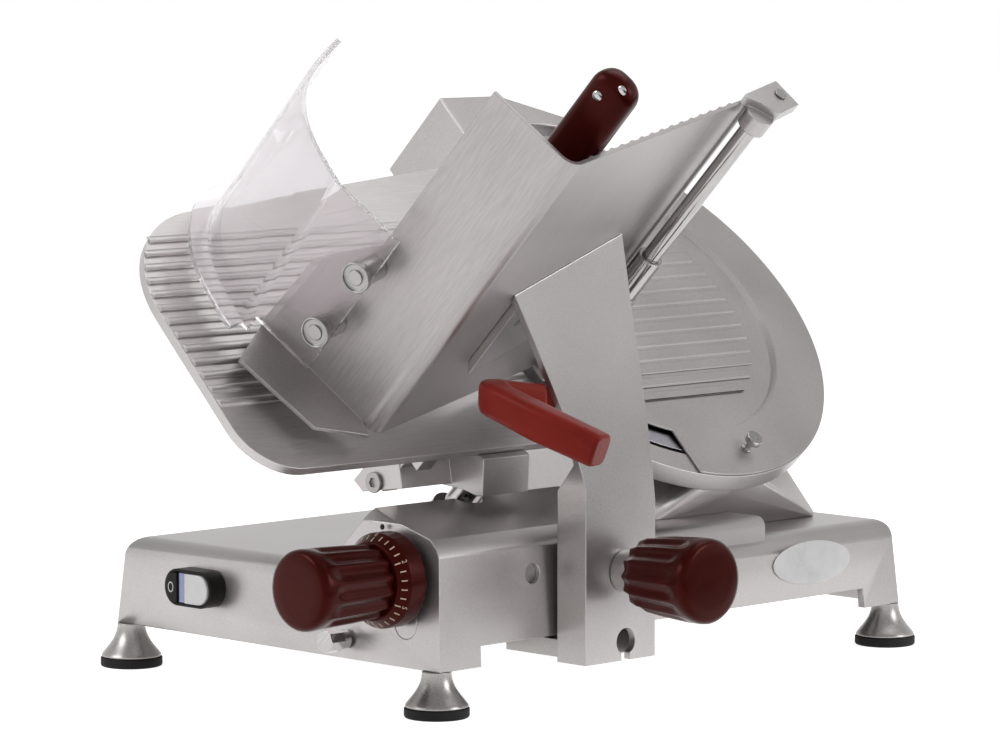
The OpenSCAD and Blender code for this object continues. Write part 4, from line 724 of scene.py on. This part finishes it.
class SLICER_OT_base(bpy.types.Operator):
    """Base casting with rounded corners, bottom plate and oval plate"""

    bl_idname = "slicer.base"
    bl_label = "Base"

    def execute(self, context):
        sizes = context.scene.slicer_sizes
        bm = merged_copy("base_casting")
        bm.normal_update()
        tree = BVHTree.FromBMesh(bm)
        clear, reach, lowest = 0.001, 0.5, -0.3

        def outside(e):
            """Whether an edge is long, doesn't face down, and sees no other wall."""
            out = (e.link_faces[0].normal + e.link_faces[1].normal).normalized()
            middle = (e.verts[0].co + e.verts[1].co) / 2
            hit = tree.ray_cast(middle + out * clear, out, reach)[0]
            return hit is None and out.z > lowest and e.calc_length() > LONG_EDGE

        self.plug(tree)
        round_edges(bm, corner_edges(bm, 50, outside), sizes.corner_round, 4)
        piece("base_casting_form", bm, "frame", "cast_satin", ["base_casting"], 50)
        kept("bottom_plate", "side_plug", "cable_gland")
        softened("blank_plate")
        return {"FINISHED"}

    def plug(self, tree):
        """A flush plug that closes the guide rail's bore in the front wall."""
        low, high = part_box("guide_rail")
        wide, thick, rim, before = (high.x - low.x) / 2, 0.0016, 0.0002, 0.2
        middle = Vector(((low.x + high.x) / 2, low.y, (low.z + high.z) / 2))
        beside = middle + Vector((wide * 1.25, -before, 0))
        wall, out = tree.ray_cast(beside, Vector((0, 1, 0)))[:2]
        front = Vector((middle.x, wall.y, middle.z))
        bm = bmesh.new()
        spun(bm, [(0, -thick), (wide, -thick), (wide, -rim), (wide - rim, 0), (0, 0)], 64)
        turned = out.to_track_quat("Z", "Y").to_matrix().to_4x4()
        bmesh.ops.transform(bm, verts=bm.verts, matrix=Matrix.Translation(front) @ turned)
        piece("rail_plug", bm, "frame", "cast_satin", smooth=30)


class SLICER_OT_feet(bpy.types.Operator):
    """Turned foot cones and rubber pads"""

    bl_idname = "slicer.feet"
    bl_label = "Feet"

    def execute(self, context):
        low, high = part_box("foot_pads")
        cone_low, cone_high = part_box("foot_cones")
        middle = (low + high) / 2
        side, end = FEET_ACROSS / 2, (high.y - low.y) / 2 - PAD_RADIUS
        wide = (cone_high.x - cone_low.x) / 2 - side - INSET
        cones, pads = bmesh.new(), bmesh.new()
        for x in (middle.x - side, middle.x + side):
            for y in (middle.y - end, middle.y + end):
                place = Matrix.Translation((x, y, 0))
                self.cone(cones, place, cone_low.z, wide, cone_high.z)
                self.pad(pads, place, high.z, PAD_RADIUS - INSET)
        piece("foot_cones_form", cones, "frame", "bare_alloy", ["foot_cones"], 50)
        piece("foot_pads_form", pads, "frame", "pad_rubber", ["foot_pads"], 45)
        return {"FINISHED"}

    def cone(self, bm, place, low, wide, top):
        """A foot that flares from its neck to its rim, with its stud."""
        tall, neck, stud, rim, steps = 0.0246, 0.0103, 0.003, 0.0006, 18
        outline = [(0, low), (wide - rim, low), (wide, low + rim)]
        for k in range(steps + 1):
            t = k / steps
            flare = (1 + math.cos(math.pi * t ** 0.62)) / 2
            outline.append((neck + (wide - neck) * flare, low + 2 * rim + (tall - 2 * rim) * t))
        outline += [(stud, low + tall), (stud, top), (0, top)]
        foot = bmesh.new()
        spun(foot, outline, 64)
        added(bm, foot, place)

    def pad(self, bm, place, thick, wide):
        """A rubber pad with a round rim."""
        edge, upper, steps = 0.0016, 0.0008, 4
        outline = [(0, 0)]
        for k in range(steps + 1):
            turn = math.pi / 2 * k / steps
            outline.append((wide - edge + edge * math.sin(turn), edge - edge * math.cos(turn)))
        outline += [(wide, thick - upper), (wide - upper, thick), (0, thick)]
        pad = bmesh.new()
        spun(pad, outline, 64)
        added(bm, pad, place)


class SLICER_OT_switch(bpy.types.Operator):
    """Switch bezel, buttons, lamp strip and the ring on the stop button"""

    bl_idname = "slicer.switch"
    bl_label = "Switch"

    def execute(self, context):
        sizes = context.scene.slicer_sizes
        softened("switch_bezel", "stop_button", "start_button", "pilot_lamp")
        kept("switch_block")
        low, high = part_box("stop_button")
        centre = Vector(((low.x + high.x) / 2, low.y, (low.z + high.z) / 2))
        bm = bmesh.new()
        outer, thick, narrow = sizes.ring_diameter / 2, 0.0003, 0.75
        inner = outer * 0.76
        spun(bm, [(outer, 0), (outer, thick), (inner, thick), (inner, 0), (outer, 0)], 40)
        seat = Matrix.Translation(centre + Vector((0, INSET, 0)))
        facing = seat @ Matrix.Rotation(math.pi / 2, 4, "X") @ Matrix.Diagonal((narrow, 1, 1, 1))
        bmesh.ops.transform(bm, verts=bm.verts, matrix=facing)
        piece("stop_ring", bm, "stop_button_body", "stop_mark")
        return {"FINISHED"}


class SLICER_OT_drive(Plain, bpy.types.Operator):
    """Drive pedestal, and the motor, belt, pulley and bearings inside"""

    bl_idname = "slicer.drive"
    bl_label = "Drive"
    rounded = ("drive_pedestal",)
    as_is = ("motor", "motor_pulley", "drive_belt", "blade_bearings")


class SLICER_OT_blade(bpy.types.Operator):
    """Blade, hub, ring guard, blade cover, its pin and the slice deflector"""

    bl_idname = "slicer.blade"
    bl_label = "Blade"

    def execute(self, context):
        kept("blade_hub", "blade_screws")
        softened("blade", "ring_guard")
        self.cover(context.scene.slicer_sizes)
        softened("cover_pin", "slice_deflector")
        return {"FINISHED"}

    def cover(self, sizes):
        """The cover with its ribs spread into low waves."""
        bm = merged_copy("blade_cover")
        from_blade = LEANING @ Matrix.Translation((BLADE_CENTRE.x, BLADE_CENTRE.y, 0))
        to_blade = from_blade.inverted()
        out = from_blade.to_3x3() @ Vector((0, 0, 1))
        near = [(v, to_blade @ v.co) for v in bm.verts]
        near = [(v, place) for v, place in near if math.hypot(place.x, place.y) < sizes.rib_reach]
        dish = min(place.z for v, place in near if v.normal.dot(out) > 0.2)
        for v, place in near:
            if place.z < dish - 2 * INSET:
                continue
            row = round((place.y + sizes.rib_start) / sizes.rib_step)
            middle = row * sizes.rib_step - sizes.rib_start
            place.y = middle + (place.y - middle) * sizes.rib_spread
            place.z = dish + (place.z - dish) * sizes.rib_lower
            v.co = from_blade @ place
        round_edges(bm, corner_edges(bm, 60, lambda e: e.calc_length() > LONG_EDGE), 0.0005, 2)
        piece("blade_cover_form", bm, body_of("blade_cover"), "cover_satin", ["blade_cover"], 47)


class SLICER_OT_sharpener(Plain, bpy.types.Operator):
    """Sharpener cover, its bracket and the stones"""

    bl_idname = "slicer.sharpener"
    bl_label = "Sharpener"
    rounded = ("sharpener_cover", "sharpener_bracket", "grinding_stone", "honing_stone")


class SLICER_OT_gauge(Plain, bpy.types.Operator):
    """Ribbed gauge plate, its bracket, screw, shaft and bushing"""

    bl_idname = "slicer.gauge"
    bl_label = "Gauge"
    rounded = ("gauge_plate", "gauge_bracket", "gauge_screw", "gauge_shaft")
    as_is = ("gauge_bushing",)


class SLICER_OT_dial(bpy.types.Operator):
    """Thickness dial with ticks and numerals, its fluted knob, and the small knob"""

    bl_idname = "slicer.dial"
    bl_label = "Dial"

    def execute(self, context):
        sizes = context.scene.slicer_sizes
        kept("dial_bushing", "dial_shaft")
        softened("dial_disc")
        low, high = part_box("dial_knob")
        centre = Vector(((low.x + high.x) / 2, high.y, (low.z + high.z) / 2))
        facing = Matrix.Translation(centre) @ Matrix.Rotation(math.pi / 2, 4, "X")
        bm = bmesh.new()
        knob_form(bm, high.x - low.x, high.y - low.y, KNOB_SHARES, sizes)
        bmesh.ops.transform(bm, matrix=facing, verts=bm.verts)
        piece("dial_knob_form", bm, "dial", "red_plastic", ["dial_knob"], 60)
        softened("small_knob")
        self.marks(sizes)
        return {"FINISHED"}

    def marks(self, sizes):
        """Ticks and numerals on the dial's sloping face, and the index dot above it."""
        low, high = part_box("dial_disc")
        wide = high.x - low.x
        deep = high.y - low.y
        axis = Vector(((low.x + high.x) / 2, high.y, (low.z + high.z) / 2))
        slope = math.atan2((wide - DIAL_NECK) / 2, deep * DIAL_SLOPE)
        back, out = deep * (1 - DIAL_SLOPE / 2), (wide + DIAL_NECK) / 4 + INSET / 2
        raised, lower, every, top = 0.0003, 0.0022, 5, 16
        bm = bmesh.new()
        for k in range(sizes.dial_ticks):
            turn = math.tau * k / sizes.dial_ticks
            face = (
                Matrix.Translation(axis) @ Matrix.Rotation(turn, 4, "Y")
                @ Matrix.Translation((0, -back, out))
                @ Matrix.Rotation(slope - math.pi / 2, 4, "X")
            )
            numbered = k % every == 0
            tick = face @ Matrix.Translation((0, 0, -lower if numbered else 0))
            bmesh.ops.create_cube(bm, size=1.0, matrix=tick @ Matrix.Diagonal(
                (sizes.tick_width, raised, sizes.tick_length, 1)))
            if numbered:
                self.numeral(bm, str(k * top // sizes.dial_ticks), face, sizes)
        piece("dial_ticks", bm, "dial", "dial_marks")
        bm = bmesh.new()
        half = Vector((0, 0.0003, 0))
        rod_form(bm, spot(*INDEX_DOT) - half, spot(*INDEX_DOT) + half, sizes.dot_diameter, 32)
        piece("index_dot", bm, "frame", "black_plastic")

    def numeral(self, bm, text, face, sizes):
        """A raised numeral on the dial's slope, its foot towards the knob."""
        size_for_height, raised, higher = 1.4, 0.00015, 0.0026
        curve = bpy.data.curves.new("numeral", "FONT")
        curve.body = text
        curve.size = sizes.numeral_height * size_for_height
        curve.align_x, curve.align_y = "CENTER", "CENTER"
        curve.extrude = raised
        shown = bpy.data.objects.new("numeral", curve)
        mesh = bpy.data.meshes.new_from_object(shown)
        bpy.data.objects.remove(shown)
        bpy.data.curves.remove(curve)
        letter = bmesh.new()
        letter.from_mesh(mesh)
        bpy.data.meshes.remove(mesh)
        seat = face @ Matrix.Translation((0, 0, higher))
        added(bm, letter, seat @ Matrix.Rotation(math.pi / 2, 4, "X"))


class SLICER_OT_rail(Plain, bpy.types.Operator):
    """Rails under the base, and the carriage block and bracket on them"""

    bl_idname = "slicer.rail"
    bl_label = "Rail"
    rounded = ("guide_rail", "guide_bar", "carriage_block", "carriage_bracket")


class SLICER_OT_arm(bpy.types.Operator):
    """Carriage arm, its ferrule and the lock knob"""

    bl_idname = "slicer.arm"
    bl_label = "Arm"

    def execute(self, context):
        sizes = context.scene.slicer_sizes
        softened("carriage_arm", "arm_ferrule")
        low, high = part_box("lock_knob")
        back = spot(0.2196, -0.093, 0.092)
        facing = Matrix.Translation(back) @ Matrix.Rotation(math.pi / 2, 4, "Y")
        bm = bmesh.new()
        knob_form(bm, high.z - low.z, high.x - back.x, LOCK_SHARES, sizes)
        bmesh.ops.transform(bm, matrix=facing, verts=bm.verts)
        rod_form(bm, Vector((low.x, back.y, back.z)), back + Vector((0.002, 0, 0)), 0.012)
        piece("lock_knob_form", bm, "lock_knob_body", "red_plastic", ["lock_knob"], 60)
        return {"FINISHED"}


class SLICER_OT_handle(bpy.types.Operator):
    """Carriage handle and its screws"""

    bl_idname = "slicer.handle"
    bl_label = "Handle"

    def execute(self, context):
        self.bar(context.scene.slicer_sizes)
        self.tab()
        kept("handle_screws")
        return {"FINISHED"}

    def path(self):
        """Places along the bar with the share of its section at each, and its round bend."""
        root, corner = spot(0.196, -0.176, 0.2188), spot(0.1985, -0.2255, 0.2255)
        middle, end = spot(0.247, -0.221, 0.209), spot(0.2885, -0.2094, 0.1936)
        bend_in, bend_out = root.lerp(corner, 0.70), corner.lerp(middle, 0.32)
        path = [(root, 0.92), (root.lerp(corner, 0.5), 0.95)]
        for k in range(9):
            t = k / 8
            path.append((bend_in.lerp(corner, t).lerp(corner.lerp(bend_out, t), t), 0.98))
        path += [(corner.lerp(middle, 0.65), 1.0), (middle, 1.03), (middle.lerp(end, 0.5), 1.01)]
        return [*path, (end, 0.99)]

    def bar(self, sizes):
        """The bar that the hand holds, with a rounded tip."""
        path = self.path()
        wide, high = sizes.handle_width, sizes.handle_height
        stations = []
        for k, (place, grow) in enumerate(path):
            before, after = path[max(0, k - 1)][0], path[min(len(path) - 1, k + 1)][0]
            along = (after - before).normalized()
            stations.append((place, along, wide * grow, high * grow))
        tip, along = stations[-1][:2]
        for out, grow in ((0.0016, 0.97), (0.0028, 0.90), (0.0035, 0.78)):
            stations.append((tip + along * out, along, wide * grow, high * grow))
        bm = bmesh.new()
        swept(bm, stations)
        piece("handle_bar", bm, "carriage", "bright_red_plastic", smooth=50)

    def tab(self):
        """The flat end that the screws hold, cut from the CAD handle before its bar."""
        bm = merged_copy("carriage_handle")
        cut = spot(0.17, -0.176, 0.2)
        bmesh.ops.bisect_plane(
            bm, geom=bm.verts[:] + bm.edges[:] + bm.faces[:], plane_co=(0, cut.y, 0),
            plane_no=(0, -1, 0), clear_outer=True,
        )
        bmesh.ops.holes_fill(bm, edges=bm.edges, sides=0)
        round_edges(bm, corner_edges(bm, 50), 0.0008, 2)
        piece("carriage_handle_tab", bm, "carriage", "bright_red_plastic", ["carriage_handle"], 45)


class SLICER_OT_tray(Plain, bpy.types.Operator):
    """Product tray, its screws, and the rod with its foot and end bracket"""

    bl_idname = "slicer.tray"
    bl_label = "Tray"
    rounded = (
        "product_tray", "tray_screws", "end_screw", "rod_foot", "end_bracket", "pusher_rod")


class SLICER_OT_pusher(bpy.types.Operator):
    """Pusher sleeve, swing arm, grip and its screws"""

    bl_idname = "slicer.pusher"
    bl_label = "Pusher"

    def execute(self, context):
        softened("pusher_sleeve", "pusher_arm")
        hinge = LEANING @ Matrix.Translation((-0.2285, 0.080, 0))
        swung = hinge @ Matrix.Rotation(math.radians(18.8), 4, "Z")
        place = swung @ Matrix.Rotation(math.pi / 2, 4, "X")
        self.grip(context.scene.slicer_sizes.grip_width, place)
        self.screws(place)
        return {"FINISHED"}

    def grip(self, wide, place):
        """The flat grip, up to its domed end; y of the place runs up the grip."""
        thick, top, long, dome, ring = 0.0216, GRIP_TOP, 0.1295, 0.0155, 0.012
        along = Vector((0, 1, 0))
        foot = top - long
        rims = [(foot, 0.93), (foot + 0.0004, 0.97), (foot + 0.0012, 1.0)]
        stations = []
        for out, grow in rims + [(foot + ring * k, 1.0) for k in range(1, 10)]:
            stations.append((Vector((0, out, 0)), along, thick * grow, wide * grow))
        for k in range(15):
            t = math.sin(math.pi / 2 * k / 14 * 0.97)
            grow = (1 - t ** 2.3) ** (1 / 2.1)
            flat = (1 - t ** 3.4) ** (1 / 2.2)
            end = Vector((0, top - dome + dome * t, 0))
            stations.append((end, along, thick * flat, wide * grow))
        bm = bmesh.new()
        swept(bm, stations, power=2.9)
        bmesh.ops.transform(bm, verts=bm.verts, matrix=place)
        piece("pusher_grip_form", bm, body_of("pusher_grip"), "red_plastic", ["pusher_grip"], 60)

    def screws(self, place):
        """Two domed heads on the grip's face."""
        head = [
            (0, 0), (0.0036, 0), (0.0036, 0.0005), (0.0031, 0.0011), (0.0018, 0.0015), (0, 0.0016)]
        bm = bmesh.new()
        for across, below, deep in ((0.005, 0.019, 0.0108), (-0.0055, 0.0052, 0.0078)):
            screw = bmesh.new()
            spun(screw, head, 32)
            seat = place @ Matrix.Translation((-deep, GRIP_TOP + 0.0004 - below, -across))
            added(bm, screw, seat @ Matrix.Rotation(-math.pi / 2, 4, "Y"))
        piece("grip_screws_form", bm, body_of("grip_screws"), "bright_steel", ["grip_screws"], 35)


class SLICER_OT_guard(Plain, bpy.types.Operator):
    """Clear thumb guard, its standoffs and screws"""

    bl_idname = "slicer.guard"
    bl_label = "Thumb guard"
    rounded = ("thumb_guard", "guard_standoffs", "guard_screws")


class SLICER_OT_stage(bpy.types.Operator):
    """Floor, room light, lamps and camera"""

    bl_idname = "slicer.stage"
    bl_label = "Stage"

    def execute(self, context):
        stage = context.scene.slicer_stage
        self.floor()
        self.room(context.scene, stage.room)
        for name, place, size in LAMPS:
            self.lamp(name.capitalize() + " lamp", place, size, getattr(stage, name))
        self.camera(context.scene, stage.lens)
        context.scene.view_settings.view_transform = "Standard"
        return {"FINISHED"}

    def floor(self):
        """A white floor with the object's shadow, and with a dark stretch to the object's right
        that the camera doesn't see: painted shade for the object's right faces, in reflections and
        bounce light.
        """
        bm = bmesh.new()
        bmesh.ops.create_grid(bm, x_segments=1, y_segments=1, size=12.0)
        mesh = bpy.data.meshes.new("floor")
        bm.to_mesh(mesh)
        bm.free()
        ground = bpy.data.objects.new("floor", mesh)
        bpy.context.scene.collection.objects.link(ground)
        material, tree, shader = new_finish("floor_pale")
        place = add(tree, "TexCoord").outputs["Object"]
        across = add(tree, "SeparateXYZ", {"Vector": place}).outputs["X"]
        # Painted shade: the floor is dark from about 0.6 to 1.1 m along x, to the object's right,
        # but stays white to the camera
        near = spread(tree, across, 1.0, 0.0, 0.44, 0.62)
        far = spread(tree, across, 0.0, 0.9, 1.1, 2.3)
        outside_painted_shade = summed(tree, near, far, use_clamp=True)
        looked_at = add(tree, "LightPath").outputs["Is Camera Ray"]
        pale = summed(tree, outside_painted_shade, looked_at, "MAXIMUM")
        # Dark base and emission in the painted-shade stretch, pale elsewhere and always pale to the
        # camera
        base = shade(tree, pale, (0.08, 0.075, 0.07), (0.8, 0.8, 0.8))
        tree.links.new(base, shader.inputs["Base Color"])
        light = shade(tree, pale, (0.03, 0.03, 0.03), (1, 1, 1))
        tree.links.new(light, shader.inputs["Emission Color"])
        shader.inputs["Roughness"].default_value = 0.9
        shader.inputs["Specular IOR Level"].default_value = 0.1
        tree.links.new(self.seen(tree, FLOOR_GLOW), shader.inputs["Emission Strength"])
        mesh.materials.append(material)

    def seen(self, tree, by):
        """A strength for the rays that look at the background."""
        path = add(tree, "LightPath").outputs
        direct = summed(tree, path["Is Camera Ray"], path["Is Glossy Ray"])
        looking = summed(tree, direct, path["Is Transmission Ray"], use_clamp=True)
        return summed(tree, looking, by, "MULTIPLY")

    def room(self, scene, level):
        """White to the eye and in reflections, and a soft even light on the object."""
        world = bpy.data.worlds.new("Studio")
        scene.world = world
        world.use_nodes = True
        tree = world.node_tree
        tree.nodes.clear()
        out = add(tree, "OutputWorld")
        back = add(tree, "Background", {"Color": (1, 1, 1, 1)})
        tree.links.new(back.outputs[0], out.inputs["Surface"])
        total = summed(tree, self.seen(tree, 1.0 - level), level)
        place = add(tree, "TexCoord").outputs["Generated"]
        high = add(tree, "SeparateXYZ", {"Vector": place}).outputs["Z"]
        dimmed = spread(tree, high, 1.0, 0.36, 0.16, 0.80)
        tree.links.new(summed(tree, total, dimmed, "MULTIPLY"), back.inputs["Strength"])

    def lamp(self, name, place, size, power):
        data = bpy.data.lights.new(name, "AREA")
        data.shape = "DISK"
        data.size = size
        data.energy = power
        made = bpy.data.objects.new(name, data)
        bpy.context.scene.collection.objects.link(made)
        made.location = place
        made.rotation_mode = "QUATERNION"
        made.rotation_quaternion = (LAMP_AIM - made.location).to_track_quat("-Z", "Y")

    def camera(self, scene, lens):
        data = bpy.data.cameras.new("Camera")
        data.lens = lens
        data.sensor_width = 36
        data.clip_start = 0.05
        data.clip_end = 60
        made = bpy.data.objects.new("Camera", data)
        scene.collection.objects.link(made)
        made.location = CAMERA_PLACE
        turn, dip = math.radians(CAMERA_TURN), math.radians(CAMERA_DIP)
        flat = math.cos(dip)
        ahead = Vector((-math.sin(turn) * flat, math.cos(turn) * flat, -math.sin(dip)))
        made.rotation_mode = "QUATERNION"
        made.rotation_quaternion = ahead.to_track_quat("-Z", "Y")
        scene.camera = made


class SLICER_PT_panel(bpy.types.Panel):
    """Sizes, colours and steps of the slicer"""

    bl_label = "Slicer"
    bl_idname = "SLICER_PT_panel"
    bl_space_type = "VIEW_3D"
    bl_region_type = "UI"
    bl_category = "Slicer"

    def draw(self, context):
        for group in ("slicer_sizes", "slicer_colours", "slicer_stage"):
            box = self.layout.box()
            values = getattr(context.scene, group)
            for key in values.__annotations__:
                box.prop(values, key)
        for step in STEPS:
            self.layout.operator(step.bl_idname)


STEPS = (
    SLICER_OT_base, SLICER_OT_feet, SLICER_OT_switch, SLICER_OT_drive, SLICER_OT_blade,
    SLICER_OT_sharpener, SLICER_OT_gauge, SLICER_OT_dial, SLICER_OT_rail, SLICER_OT_arm,
    SLICER_OT_handle, SLICER_OT_tray, SLICER_OT_pusher, SLICER_OT_guard, SLICER_OT_stage,
)
CLASSES = (SlicerSizes, SlicerColours, SlicerStage, *STEPS, SLICER_PT_panel)


def register():
    for each in CLASSES:
        bpy.utils.register_class(each)
    bpy.types.Scene.slicer_sizes = PointerProperty(type=SlicerSizes)
    bpy.types.Scene.slicer_colours = PointerProperty(type=SlicerColours)
    bpy.types.Scene.slicer_stage = PointerProperty(type=SlicerStage)


def unregister():
    del bpy.types.Scene.slicer_stage
    del bpy.types.Scene.slicer_colours
    del bpy.types.Scene.slicer_sizes
    for each in reversed(CLASSES):
        bpy.utils.unregister_class(each)


def main():
    register()
    for step in STEPS:
        group, name = step.bl_idname.split(".")
        getattr(getattr(bpy.ops, group), name)()


if __name__ == "__main__":
    main()
